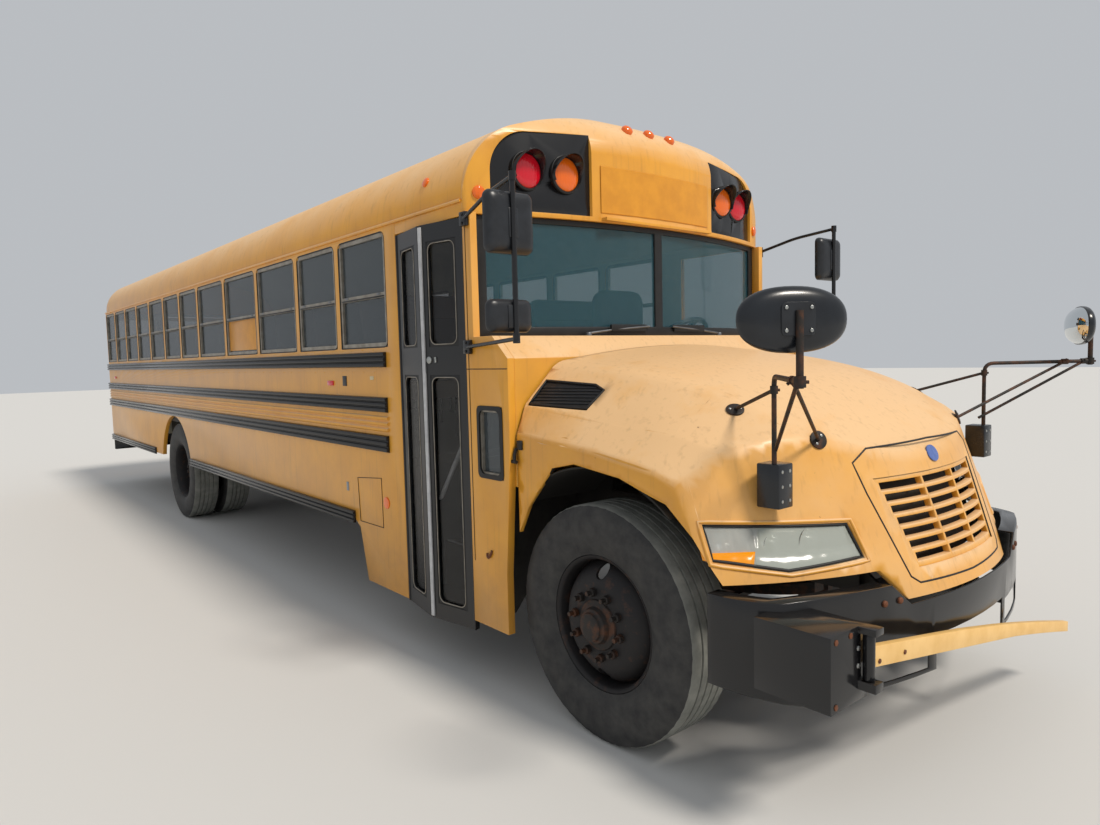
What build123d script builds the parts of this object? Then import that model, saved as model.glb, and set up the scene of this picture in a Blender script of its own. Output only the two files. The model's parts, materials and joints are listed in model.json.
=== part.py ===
from build123d import *
import os
from math import asin, cos, degrees, radians, sin, sqrt

# A conventional school bus with a tilting hood, in millimetres.
# +X is forward, +Y is left and +Z is up. The origin is on the ground, under the middle of the bus.
# Stations along the bus are given as distances ahead of (positive) or behind (negative) the front axle.

# Wheels and axles
wheelbase = 6770
tyre_radius = 525
tyre_width = 279
bead_gap = 0.4
front_track_half = 1028
kingpin_half = 902
kingpin_radius = 24
rear_twin_inner = 715
rear_twin_spacing = 335

# Body shell
body_half_width = 1219
wall = 40
eave_height = 2480
roof_height = 3030
crown_radius = 2990
crown_half = 950
skirt_height = 660
sill_height = 1774
window_top = 2449
window_pillar = 65
window_corner = 55
door_front_back = 868
door_width = 697
door_post = 100
door_foot = 276
door_top = 2407
# Side windows from front to back: how many, and the pitch of each from pillar to pillar
window_runs = [(2, 700), (3, 850), (7, 680)]
arch_radius = 615
rear_bumper_reach = 100
rear_wall_thick = 50
floor_top = 1120
floor_thickness = 50

# Front end
front_arc_radius = 3700
windshield_ahead = -660
cap_ahead = -640
cap_foot = 2416
bumper_ahead = 1095
bumper_arc_radius = 2600
bumper_half = 1160
bumper_end_ahead = 600
bumper_plate = 8
gate_front_ahead = 1172
hood_rear_ahead = -505
hood_skin = 22
hood_gap = 15
hood_foot = 640
nose_radius = 1746
nose_ahead = 1066
nose_height = 792
nose_rake = 0.37
hinge_ahead = 1050
hinge_height = 560

# Heads of the crossview mirrors: where the stem stands, the oval, how far it turns out, and its levels from the
# stem towards the driver, each with its share of the oval
cross_head_ahead = 1110
cross_head_left = 1355
cross_head_height = 1785
cross_head_width = 360
cross_head_tall = 205
cross_head_turn = 30
cross_head_levels = [(6, 0.5), (20, 0.86), (38, 1), (54, 1), (90, 0.72), (108, 0.3)]

# Frame
rail_half = 430
rail_depth = 254
rail_flange = 76
rail_web = 9
rail_foot = 690

pitches = [pitch for count, pitch in window_runs for _ in range(count)]
window_start_back = door_front_back + door_width + door_post
body_rear_back = window_start_back + sum(pitches)
rear_reach_back = body_rear_back + rear_bumper_reach
mirror_reach = max(share * cross_head_width / 2 * sin(radians(cross_head_turn))
                   - depth * cos(radians(cross_head_turn)) for depth, share in cross_head_levels)
front_reach_ahead = max(gate_front_ahead, cross_head_ahead + mirror_reach)
front_axle_x = (rear_reach_back - front_reach_ahead) / 2
rear_axle_x = front_axle_x - wheelbase
axle_height = tyre_radius


def ahead(distance):
    """World X of a station given as its distance ahead of the front axle."""
    return front_axle_x + distance


body_rear = ahead(-body_rear_back)
door_front = ahead(-door_front_back)
door_rear = door_front - door_width
window_start = ahead(-window_start_back)
inner_half = body_half_width - wall
shoulder_slope = asin(crown_half / crown_radius)
shoulder_radius = (body_half_width - crown_half) / (1 - sin(shoulder_slope))
crown_edge_height = roof_height - crown_radius * (1 - cos(shoulder_slope))


def slab(x_span, y_span, z_span, mode=Mode.ADD):
    """A rectangular block between pairs of coordinates."""
    sizes = [abs(high - low) for low, high in (x_span, y_span, z_span)]
    middle = [(low + high) / 2 for low, high in (x_span, y_span, z_span)]
    with Locations(tuple(middle)):
        Box(*sizes, mode=mode)


def flank(side, near, far):
    """A Y span on one side of the bus between two distances from its middle."""
    return tuple(sorted((side * near, side * far)))


def rod(start, end, radius):
    """A round bar between two points."""
    along = Vector(*end) - Vector(*start)
    with BuildSketch(Plane(origin=start, z_dir=along)) as section:
        Circle(radius)
    extrude(section.sketch, amount=along.length)


def side_plane(y_left):
    """A sketch plane in X and Z whose extrusion runs from y_left towards the right side."""
    return Plane.XZ.offset(-y_left)


def cross_plane(x):
    """A sketch plane in Y and Z at station x, whose extrusion runs forward."""
    return Plane.YZ.offset(x)


def window_spans():
    """Rear and front X of every side window opening, front window first."""
    spans = []
    edge = window_start
    for pitch in pitches:
        rear = max(edge - pitch + window_pillar / 2, body_rear + rear_wall_thick + 24)
        spans.append((rear, edge - window_pillar / 2))
        edge -= pitch
    return spans


def window_outlines(inset):
    """Draws the outline of every side window, inset by a border; the opening itself has round top corners."""
    height = window_top - sill_height - 2 * inset
    for rear, front in window_spans():
        with BuildSketch(mode=Mode.PRIVATE) as outline:
            Rectangle(front - rear - 2 * inset, height)
            if inset == 0:
                fillet(outline.vertices().group_by(Axis.Y)[-1], radius=window_corner)
        with Locations(((rear + front) / 2, (sill_height + window_top) / 2)):
            add(outline.sketch)


def body_section(plane, inset, foot):
    """The body's closed cross-section above a foot height on a plane, inset by a wall."""
    half = body_half_width - inset
    top = roof_height - inset
    radius = shoulder_radius - inset
    centre_y = body_half_width - shoulder_radius
    centre_z = crown_edge_height - shoulder_radius * cos(shoulder_slope)
    edge = (centre_y + radius * sin(shoulder_slope), centre_z + radius * cos(shoulder_slope))
    turn = 90 - degrees(shoulder_slope)
    with BuildSketch(plane) as section:
        with BuildLine():
            CenterArc((-centre_y, centre_z), radius, 180 - turn, turn)
            CenterArc((centre_y, centre_z), radius, 0, turn)
            ThreePointArc((-edge[0], edge[1]), (0, top), edge)
            Polyline((half, centre_z), (half, foot), (-half, foot), (-half, centre_z))
        make_face()
    return section.sketch


def arc_drop(radius, y):
    """How far an arc across the bus falls back at a distance from the middle."""
    return radius - sqrt(radius**2 - y**2)


def arc_band(height, radius, front, half, depth):
    """A plan band at a height that follows a shallow arc across the bus, its front at the centre line."""
    drop = arc_drop(radius, half)
    with BuildSketch(Plane.XY.offset(height)) as band:
        with BuildLine():
            ThreePointArc((front - drop, -half), (front, 0), (front - drop, half))
            ThreePointArc((front - drop - depth, -half), (front - depth, 0), (front - drop - depth, half))
            Line((front - drop, -half), (front - drop - depth, -half))
            Line((front - drop, half), (front - drop - depth, half))
        make_face()
    return band.sketch


def save(builder, name):
    builder.part.label = name
    export_step(builder.part, f"parts/{name}.step")


os.makedirs("parts", exist_ok=True)

# Frame rails with cross members, and the front horns that carry the hood's hinge pins and the bumper
rail_rear = body_rear + 60
rail_front = ahead(800)
rail_top = rail_foot + rail_depth
rail_inner = rail_half - rail_flange
cross_stations = (740, -1000, -2000, -3300, -4700, -5900, -7700, -9200)
member_foot = rail_foot + 60
member_top = rail_foot + 180
hinge_pin_radius = 9
horn_front = ahead(hinge_ahead) + 11
hinge_arm_half = 300
hinge_arm_width = 30
pin_gap = 0.4
with BuildPart() as frame_rails:
    for side in (-1, 1):
        outer = side * rail_half
        inner = side * rail_inner
        web = side * (rail_half - rail_web)
        with BuildSketch(cross_plane(rail_rear)):
            with BuildLine():
                Polyline((outer, rail_foot), (inner, rail_foot), (inner, rail_foot + rail_web),
                         (web, rail_foot + rail_web), (web, rail_top - rail_web), (inner, rail_top - rail_web),
                         (inner, rail_top), (outer, rail_top), close=True)
            make_face()
        extrude(amount=rail_front - rail_rear)
        horn_sides = sorted((side * (rail_inner - 12), side * (rail_inner + 8)))
        with BuildSketch(side_plane(horn_sides[1])):
            with BuildLine():
                Polyline((rail_front - 80, rail_foot), (ahead(hinge_ahead) - 60, hinge_height - 30),
                         (horn_front, hinge_height - 30), (horn_front, hinge_height + 30),
                         (ahead(hinge_ahead) - 60, hinge_height + 40), (rail_front, rail_foot + 70),
                         (rail_front - 80, rail_foot + 70), close=True)
            make_face()
        extrude(amount=horn_sides[1] - horn_sides[0])
        pin_sides = sorted((side * (hinge_arm_half - hinge_arm_width / 2 - 8), side * rail_inner))
        with BuildSketch(side_plane(pin_sides[1])):
            with Locations((ahead(hinge_ahead), hinge_height)):
                Circle(hinge_pin_radius)
        extrude(amount=pin_sides[1] - pin_sides[0])
    for station in cross_stations:
        slab((ahead(station) - 35, ahead(station) + 35), (-rail_half + rail_web, rail_half - rail_web),
             (member_foot, member_top))
save(frame_rails, "frame_rails")

# Engine and gearbox, one plain block at its real place and size, hung on the rails by two mounts
engine_half = 250
engine_foot = 565
with BuildPart() as engine_block:
    slab((ahead(-330), ahead(560)), (-engine_half, engine_half), (engine_foot, 1400))
    slab((ahead(-900), ahead(-330)), (-190, 190), (axle_height - 50, 900))
    for side in (-1, 1):
        slab((ahead(60), ahead(180)), (side * engine_half, side * (rail_half - rail_web - 12)),
             (rail_foot + rail_web, rail_foot + 90))
save(engine_block, "engine_block")

# Radiator core behind the grille, standing on the first cross member
radiator_half = rail_inner - 6
with BuildPart() as radiator:
    slab((ahead(700), ahead(780)), (-radiator_half, radiator_half), (member_top, 1190))
save(radiator, "radiator")

# Front axle: a dropped I-beam with a boss for each kingpin, clamped under its two leaf springs
beam_top = 545
beam_depth = 105
beam_half_thick = 46
boss_radius = 42
boss_half_height = 75
spring_thick = 50
spring_y = (rail_inner + 2, rail_half - 2)
with BuildPart() as front_axle:
    with BuildSketch(cross_plane(ahead(-beam_half_thick))):
        with BuildLine():
            Polyline((-kingpin_half, axle_height + 50), (-700, axle_height + 50), (-560, beam_top), (560, beam_top),
                     (700, axle_height + 50), (kingpin_half, axle_height + 50), (kingpin_half, axle_height - 50),
                     (680, axle_height - 50), (540, beam_top - beam_depth), (-540, beam_top - beam_depth),
                     (-680, axle_height - 50), (-kingpin_half, axle_height - 50), close=True)
        make_face()
    extrude(amount=2 * beam_half_thick)
    for x in (ahead(-beam_half_thick), ahead(beam_half_thick - 30)):
        slab((x, x + 30), (-520, 520), (beam_top - beam_depth + 22, beam_top - 22), mode=Mode.SUBTRACT)
    with BuildSketch(Plane.XY.offset(axle_height - boss_half_height)):
        with Locations((ahead(0), -kingpin_half), (ahead(0), kingpin_half)):
            Circle(boss_radius)
    extrude(amount=2 * boss_half_height)
    with BuildSketch(Plane.XY.offset(axle_height - boss_half_height)):
        with Locations((ahead(0), -kingpin_half), (ahead(0), kingpin_half)):
            Circle(kingpin_radius + pin_gap)
    extrude(amount=2 * boss_half_height, mode=Mode.SUBTRACT)
    for low, high in (spring_y, (-spring_y[1], -spring_y[0])):
        with BuildSketch(side_plane(high)):
            with BuildLine():
                ThreePointArc((ahead(-640), rail_foot - spring_thick), (ahead(0), beam_top),
                              (ahead(600), rail_foot - spring_thick))
                ThreePointArc((ahead(-640), rail_foot), (ahead(0), beam_top + spring_thick),
                              (ahead(600), rail_foot))
                Line((ahead(-640), rail_foot - spring_thick), (ahead(-640), rail_foot))
                Line((ahead(600), rail_foot - spring_thick), (ahead(600), rail_foot))
            make_face()
        extrude(amount=high - low)
save(front_axle, "front_axle")

# Rear axle: banjo housing and tubes under two leaf springs
axle_tube_radius = 75
housing_radius = 205
tube_half = rear_twin_inner + rear_twin_spacing / 2 + 30
with BuildPart() as rear_axle:
    with Locations(Location((rear_axle_x, 0, axle_height), (90, 0, 0))):
        Cylinder(axle_tube_radius, 2 * tube_half)
    with Locations((rear_axle_x, 0, axle_height)):
        Sphere(housing_radius)
    for low, high in (spring_y, (-spring_y[1], -spring_y[0])):
        with BuildSketch(side_plane(high)):
            with BuildLine():
                ThreePointArc((rear_axle_x - 700, rail_foot - spring_thick), (rear_axle_x, axle_height + 65),
                              (rear_axle_x + 700, rail_foot - spring_thick))
                ThreePointArc((rear_axle_x - 700, rail_foot), (rear_axle_x, axle_height + 65 + spring_thick),
                              (rear_axle_x + 700, rail_foot))
                Line((rear_axle_x - 700, rail_foot - spring_thick), (rear_axle_x - 700, rail_foot))
                Line((rear_axle_x + 700, rail_foot - spring_thick), (rear_axle_x + 700, rail_foot))
            make_face()
        extrude(amount=high - low)
save(rear_axle, "rear_axle")

# Drive shaft, and the exhaust with its muffler, hung against the cross members
exhaust_y = -270
exhaust_radius = 44
muffler_radius = 80
hanging_gap = 0.3
exhaust_height = member_foot - hanging_gap - exhaust_radius
tail_end = body_rear + rear_wall_thick + 10
with BuildPart() as drive_shaft_and_exhaust:
    with BuildSketch(cross_plane(rear_axle_x + housing_radius)):
        with Locations((0, axle_height)):
            Circle(50)
    extrude(amount=ahead(-900) - rear_axle_x - housing_radius)
    with BuildSketch(cross_plane(tail_end)):
        with Locations((exhaust_y, exhaust_height)):
            Circle(exhaust_radius)
    extrude(amount=ahead(-950) - tail_end)
    with BuildSketch(cross_plane(ahead(-3200))):
        with Locations((exhaust_y, exhaust_height)):
            Circle(muffler_radius)
    extrude(amount=1100)
save(drive_shaft_and_exhaust, "drive_shaft_and_exhaust")

# Fuel tank, hung on the left rail
with BuildPart() as fuel_tank:
    slab((ahead(-4500), ahead(-3400)), (rail_half, 1010), (520, 900))
    fillet(fuel_tank.edges().filter_by(Axis.X), radius=70)
save(fuel_tank, "fuel_tank")

# Floor on two long sills, with cross bearers, and the driver's floor beside the stepwell
cowl_back = ahead(-550)
bearer_stations = (-2100, -2800, -3700, -4700, -5600, -7900, -8900, -9900)
well_inner = -500
floor_foot = floor_top - floor_thickness
with BuildPart() as floor:
    slab((body_rear + rear_wall_thick, door_rear), (-inner_half, inner_half), (floor_foot, floor_top))
    for side in (-1, 1):
        slab((body_rear + 60, door_rear), (side * rail_inner, side * rail_half), (rail_top, floor_foot))
    for station in bearer_stations:
        slab((ahead(station) - 40, ahead(station) + 40), (-inner_half + 20, inner_half - 20),
             (floor_foot - 60, floor_foot))
save(floor, "floor")

with BuildPart() as driver_floor:
    with BuildSketch(Plane.XY.offset(floor_foot)):
        with BuildLine():
            Polyline((door_rear, well_inner), (door_front, well_inner), (door_front, -inner_half),
                     (cowl_back, -inner_half), (cowl_back, inner_half), (door_rear, inner_half), close=True)
        make_face()
    extrude(amount=floor_thickness)
    for side in (-1, 1):
        slab((door_rear, ahead(-640)), (side * rail_inner, side * rail_half), (rail_top, floor_foot))
save(driver_floor, "driver_floor")

# Stepwell: four risers up to the floor, between two side plates
tread_count = 3
first_tread = 330
riser = (floor_top - first_tread) / tread_count
tread_front = -inner_half + 4
tread_depth = (well_inner - tread_front) / tread_count
step_plate = 16
with BuildPart() as stepwell:
    for index in range(tread_count):
        y = tread_front + index * tread_depth
        z = first_tread + index * riser
        slab((door_rear, door_front), (y, y + tread_depth), (z - step_plate, z))
        slab((door_rear, door_front), (y + tread_depth - step_plate, y + tread_depth), (z - step_plate, z + riser - 1))
    for x in (door_rear, door_front - step_plate):
        with BuildSketch(cross_plane(x)):
            with BuildLine():
                Polyline((tread_front, first_tread - step_plate),
                         (tread_front + tread_depth, first_tread - step_plate),
                         (well_inner, first_tread + 2 * riser - step_plate), (well_inner, floor_foot),
                         (tread_front, floor_foot), close=True)
            make_face()
        extrude(amount=step_plate)
save(stepwell, "stepwell")

# Side walls, as thick as the whole wall, with ribs pressed between the rub rails and every window cut
rail_a = (1653, 1746)
rail_b = (1382, 1475)
rail_c = (1141, 1244)
rail_d = (640, 722)
rail_proud = 22
rib_heights = (1278, 1313, 1348)
rib_half = 13
rib_proud = 12
step_front = ahead(-2232)
low_skirt_front = ahead(-2080)
low_skirt_foot = 290
header_foot = door_top
driver_window = (ahead(-1500), ahead(-930))
wall_rear = body_rear + rear_wall_thick
rails_front = ahead(-1725)
driver_sill = 1834
driver_head = 2407


def side_wall(side):
    """One side wall; the right one stops at the entrance and drops to a low skirt behind it."""
    left_edge = inner_half + wall if side > 0 else -inner_half
    front = door_front if side > 0 else door_rear
    with BuildPart() as panel:
        with BuildSketch(side_plane(left_edge)):
            with BuildLine():
                if side > 0:
                    Polyline((wall_rear, skirt_height), (front, skirt_height), (front, eave_height),
                             (wall_rear, eave_height), close=True)
                else:
                    Polyline((wall_rear, skirt_height), (step_front, skirt_height),
                             (step_front + 61, skirt_height - 36), (low_skirt_front, low_skirt_foot),
                             (front, low_skirt_foot), (front, eave_height), (wall_rear, eave_height), close=True)
            make_face()
            with Locations((rear_axle_x, axle_height)):
                Circle(arch_radius, mode=Mode.SUBTRACT)
            with BuildSketch(mode=Mode.PRIVATE) as holes:
                window_outlines(0)
            add(holes.sketch, mode=Mode.SUBTRACT)
            if side > 0:
                with Locations(((driver_window[0] + driver_window[1]) / 2, (driver_sill + driver_head) / 2)):
                    Rectangle(driver_window[1] - driver_window[0], driver_head - driver_sill, mode=Mode.SUBTRACT)
        extrude(amount=wall)
        outer = side * body_half_width
        for height in rib_heights:
            with BuildSketch(cross_plane(body_rear + 60)):
                with BuildLine():
                    Polyline((outer, height - rib_half), (outer + side * rib_proud, height - rib_half / 2),
                             (outer + side * rib_proud, height + rib_half / 2), (outer, height + rib_half), close=True)
                make_face()
            extrude(amount=rails_front - body_rear - 60)
    return panel


for side, name in ((-1, "side_wall_right"), (1, "side_wall_left")):
    save(side_wall(side), name)

# Header over the entrance, up to the eave
with BuildPart() as door_header:
    slab((door_rear, door_front), (-body_half_width, -inner_half), (header_foot, eave_height))
save(door_header, "door_header")


# Roof: the curved skin with a rounded rear end, hollow underneath
roof_end_radius = 140
roof_end_thick = 100
body_corner = 45
with BuildPart() as roof:
    extrude(body_section(cross_plane(body_rear), 0, eave_height), amount=door_front - body_rear)
    end_edges = roof.faces().sort_by(Axis.X)[0].edges().sort_by(Axis.Z)
    fillet(end_edges[1:], radius=roof_end_radius)
    extrude(body_section(cross_plane(body_rear + roof_end_thick), wall, eave_height - 1),
            amount=door_front - body_rear - roof_end_thick, mode=Mode.SUBTRACT)
save(roof, "roof")

# Front cap over the windshield: follows the shallow arc of the front, hollow, with two lamp pockets
cap_length = door_front_back + cap_ahead
cap_edge_radius = 270
cap_corner = 28
cap_skin = 34
pocket_depth = 58
pocket_inner = 505
pocket_outer = 1085
pocket_foot = 2440
pocket_top = 2872
far_back = 900
cavity_front = ahead(cap_ahead) - pocket_depth - cap_skin
with BuildPart() as cap_cavity:
    extrude(body_section(cross_plane(door_front), wall, cap_foot), amount=cap_length)
    extrude(arc_band(cap_foot, front_arc_radius, cavity_front, body_half_width, far_back),
            amount=roof_height - cap_foot - 150, mode=Mode.INTERSECT)


def pocket_layer(nearer, deeper):
    """Both lamp pockets between two depths behind the face of the cap."""
    with BuildPart() as layer:
        extrude(arc_band(pocket_foot, front_arc_radius, ahead(cap_ahead) - nearer, body_half_width, deeper - nearer),
                amount=pocket_top - pocket_foot)
        with BuildSketch(cross_plane(ahead(-1100))):
            for side in (-1, 1):
                inner = side * pocket_inner
                outer = side * pocket_outer
                bend = side * (pocket_outer - 220)
                with BuildLine():
                    Polyline((bend, pocket_top - 24), (inner, pocket_top), (inner, pocket_foot),
                             (outer, pocket_foot), (outer, pocket_top - 250))
                    ThreePointArc((outer, pocket_top - 250), (side * (pocket_outer - 62), pocket_top - 88),
                                  (bend, pocket_top - 24))
                make_face()
        extrude(amount=far_back, mode=Mode.INTERSECT)
    return layer.part


with BuildPart() as front_cap:
    extrude(body_section(cross_plane(door_front), 0, cap_foot), amount=cap_length)
    arc_centre_x = ahead(cap_ahead) - front_arc_radius
    with BuildPart(mode=Mode.INTERSECT):
        with BuildSketch(Plane.XZ) as cap_profile:
            with BuildLine():
                Polyline((arc_centre_x, cap_foot - 5), (ahead(cap_ahead), cap_foot - 5),
                         (ahead(cap_ahead), roof_height + 1), (arc_centre_x, roof_height + 1), close=True)
            make_face()
            fillet(cap_profile.vertices().group_by(Axis.X)[-1].sort_by(Axis.Y)[-1], radius=cap_edge_radius)
        revolve(axis=Axis((arc_centre_x, 0, 0), (0, 0, 1)))
    with BuildPart(mode=Mode.INTERSECT):
        with BuildSketch(Plane.XY.offset(cap_foot - 5)) as cap_plan:
            add(arc_band(0, front_arc_radius, ahead(cap_ahead), body_half_width + 1, far_back))
            fillet(cap_plan.vertices().filter_by(lambda v: v.X > door_front), radius=cap_corner)
        extrude(amount=roof_height - cap_foot + 10)
    add(pocket_layer(-40, pocket_depth), mode=Mode.SUBTRACT)
    add(cap_cavity.part, mode=Mode.SUBTRACT)
    slab((ahead(cap_ahead) - 30, ahead(cap_ahead) + 14), (-pocket_inner + 60, pocket_inner - 60),
         (cap_foot + 4, cap_foot + 22))
save(front_cap, "front_cap")

# Black lamp panels in the pockets, with a visor over each lamp
lamp_radius = 88
lamp_height = 2648
lamp_offsets = (658, 880)
panel_depth = 20
lamp_clearance = 0.4
visor_inner = 91
visor_wall = 6
visor_length = 95
with BuildPart() as flasher_panels:
    add(pocket_layer(panel_depth, pocket_depth))
    for side in (-1, 1):
        for offset in lamp_offsets:
            panel_face = ahead(cap_ahead) - panel_depth - arc_drop(front_arc_radius, offset)
            visor_back = ahead(cap_ahead) - panel_depth - arc_drop(front_arc_radius, offset + visor_inner) - 8
            with BuildSketch(cross_plane(visor_back)):
                with Locations((side * offset, lamp_height)):
                    Circle(visor_inner + visor_wall)
                    Circle(visor_inner, mode=Mode.SUBTRACT)
                with Locations((side * offset, lamp_height - 160)):
                    Rectangle(400, 240, mode=Mode.SUBTRACT)
            extrude(amount=panel_face + visor_length - visor_back)
            with BuildSketch(cross_plane(ahead(-900))):
                with Locations((side * offset, lamp_height)):
                    Circle(lamp_radius + lamp_clearance)
            extrude(amount=400, mode=Mode.SUBTRACT)
    add(pocket_layer(pocket_depth, 2 * pocket_depth), mode=Mode.SUBTRACT)
save(flasher_panels, "flasher_panels")

# Windshield frame and its two panes, on the same arc as the cap
cowl_top = 1800
frame_depth = 30
pane_foot = 1850
pane_head = 2385
with BuildPart() as pane_prisms:
    for side in (-1, 1):
        slab((ahead(-1100), ahead(-500)), flank(side, 30, 1105), (pane_foot, pane_head))
with BuildPart() as windshield_frame:
    extrude(arc_band(cowl_top, front_arc_radius, ahead(windshield_ahead), inner_half, frame_depth),
            amount=cap_foot - cowl_top)
    add(pane_prisms.part, mode=Mode.SUBTRACT)
save(windshield_frame, "windshield_frame")
with BuildPart() as windshield_glass:
    extrude(arc_band(pane_foot, front_arc_radius, ahead(windshield_ahead) - 12, inner_half, 6),
            amount=pane_head - pane_foot)
    add(pane_prisms.part, mode=Mode.INTERSECT)
save(windshield_glass, "windshield_glass")

# Cowl: a bent plate under the windshield and behind the hood, and the side posts with their small windows
cowl_front = ahead(hood_rear_ahead) - hood_gap
cowl_bend = 1690
with BuildPart() as cowl:
    with BuildSketch(side_plane(inner_half)):
        with BuildLine():
            Polyline((ahead(-890), cowl_top), (ahead(-635), cowl_top), (cowl_front, cowl_bend),
                     (cowl_front, floor_foot), (cowl_back, floor_foot), (cowl_back, cowl_bend - 13),
                     (ahead(-647), cowl_top - 30), (ahead(-890), cowl_top - 30), close=True)
        make_face()
    extrude(amount=2 * inner_half)
save(cowl, "cowl")
quarter_window = ((ahead(-785), ahead(-575)), (1100, 1456))
post_feet = {-1: 338, 1: hood_foot}
with BuildPart() as cowl_sides:
    for side in (-1, 1):
        outer_edge = max(flank(side, inner_half, body_half_width))
        with BuildSketch(side_plane(outer_edge)):
            with BuildLine():
                Polyline((door_front, post_feet[side]), (ahead(-572), post_feet[side]), (ahead(-572), hood_foot + 1),
                         (cowl_front, 1250), (cowl_front, cowl_bend), (ahead(-640), cowl_top),
                         (ahead(-798), cowl_top), (ahead(-798), cap_foot), (door_front, cap_foot), close=True)
            make_face()
        extrude(amount=wall)
        slab(quarter_window[0], flank(side, inner_half - 1, body_half_width + 1), quarter_window[1],
             mode=Mode.SUBTRACT)
save(cowl_sides, "cowl_sides")

# Rear wall with the emergency door's opening and two windows
rear_door_half = 480
rear_door_foot = 1130
rear_door_head = 2440
rear_window = ((560, 1080), (sill_height, 2400))
with BuildPart() as rear_wall:
    slab((body_rear, wall_rear), (-body_half_width, body_half_width), (skirt_height, eave_height))
    fillet(rear_wall.edges().filter_by(Axis.Z).group_by(Axis.X)[0], radius=body_corner)
    slab((body_rear - 1, wall_rear + 1), (-rear_door_half, rear_door_half), (rear_door_foot, rear_door_head),
         mode=Mode.SUBTRACT)
    for side in (-1, 1):
        slab((body_rear - 1, wall_rear + 1), flank(side, *rear_window[0]), rear_window[1], mode=Mode.SUBTRACT)
save(rear_wall, "rear_wall")
with BuildPart() as rear_glass:
    for side in (-1, 1):
        slab((body_rear + 20, body_rear + 26), flank(side, *rear_window[0]), rear_window[1])
save(rear_glass, "rear_glass")

# Rear emergency door, hinged on its right edge, with its two panes
hinge_tube = 7
hinge_inset = 7.3
leaf_gap = 6
rear_leaf_thick = 45
rear_leaf = (-rear_door_half + hinge_inset, rear_door_half - leaf_gap)
rear_leaf_panes = ((sill_height, 2380), (1250, 1650))
rear_pane_border = 90
with BuildPart() as rear_door:
    slab((body_rear, body_rear + rear_leaf_thick), rear_leaf, (rear_door_foot + leaf_gap, rear_door_head - leaf_gap))
    for pane in rear_leaf_panes:
        slab((body_rear - 1, wall_rear), (rear_leaf[0] + rear_pane_border, rear_leaf[1] - rear_pane_border), pane,
             mode=Mode.SUBTRACT)
    rod((body_rear, rear_leaf[0], rear_door_foot + leaf_gap), (body_rear, rear_leaf[0], rear_door_head - leaf_gap),
        hinge_tube)
save(rear_door, "rear_door")
with BuildPart() as rear_door_glass:
    for pane in rear_leaf_panes:
        slab((body_rear + 20, body_rear + 26), (rear_leaf[0] + rear_pane_border, rear_leaf[1] - rear_pane_border),
             pane)
save(rear_door_glass, "rear_door_glass")

# Rear bumper, a channel on two brackets under the frame rails
bumper_back = body_rear - rear_bumper_reach
rear_bumper_half = 1190
rear_bumper_z = (480, 655)
with BuildPart() as rear_bumper:
    slab((bumper_back, bumper_back + 8), (-rear_bumper_half, rear_bumper_half), rear_bumper_z)
    for z in (rear_bumper_z[0], rear_bumper_z[1] - 8):
        slab((bumper_back + 8, bumper_back + 60), (-rear_bumper_half, rear_bumper_half), (z, z + 8))
    for side in (-1, 1):
        bracket = flank(side, rail_inner, rail_half - rail_web)
        with BuildSketch(side_plane(bracket[1])):
            with BuildLine():
                Polyline((bumper_back + 8, 560), (bumper_back + 8, rear_bumper_z[1] - 8),
                         (body_rear + 54, rear_bumper_z[1] - 8), (body_rear + 56, rail_foot),
                         (body_rear + 160, rail_foot), (body_rear + 160, 560), close=True)
            make_face()
        extrude(amount=bracket[1] - bracket[0])
save(rear_bumper, "rear_bumper")

# Rub rails along both sides, each with two pressed grooves
# Heights, then the rear and front end of each rail
rail_table = [(rail_a, body_rear + 30, rails_front), (rail_b, body_rear + 30, rails_front),
              (rail_c, body_rear + 30, rails_front), (rail_d, body_rear + 30, rear_axle_x - 908),
              (rail_d, rear_axle_x + 625, step_front)]
groove_depth = 10
with BuildPart() as rub_rails:
    for side in (-1, 1):
        for (foot, top), rear, front in rail_table:
            face = side * (body_half_width + rail_proud)
            groove = side * (body_half_width + rail_proud - groove_depth)
            step = (top - foot) / 10
            with BuildSketch(cross_plane(rear)):
                with BuildLine():
                    Polyline((side * body_half_width, foot), (face, foot + 5), (face, foot + 2.6 * step),
                             (groove, foot + 3 * step), (groove, foot + 3.6 * step), (face, foot + 4 * step),
                             (face, foot + 6 * step), (groove, foot + 6.4 * step), (groove, foot + 7 * step),
                             (face, foot + 7.4 * step), (face, top - 5), (side * body_half_width, top), close=True)
                make_face()
            extrude(amount=front - rear)
save(rub_rails, "rub_rails")

# Side window frames and their upper and lower panes
sash_border = 28
sash_bar = 30
sash_thick = 30
sash_set_back = 5
pane_thick = 4
bar_height = sill_height + 0.46 * (window_top - sill_height)


def bars():
    """Draws the bar between the upper and lower pane of every side window."""
    for rear, front in window_spans():
        with Locations(((rear + front) / 2, bar_height)):
            Rectangle(front - rear - 2 * sash_border, sash_bar)


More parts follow.
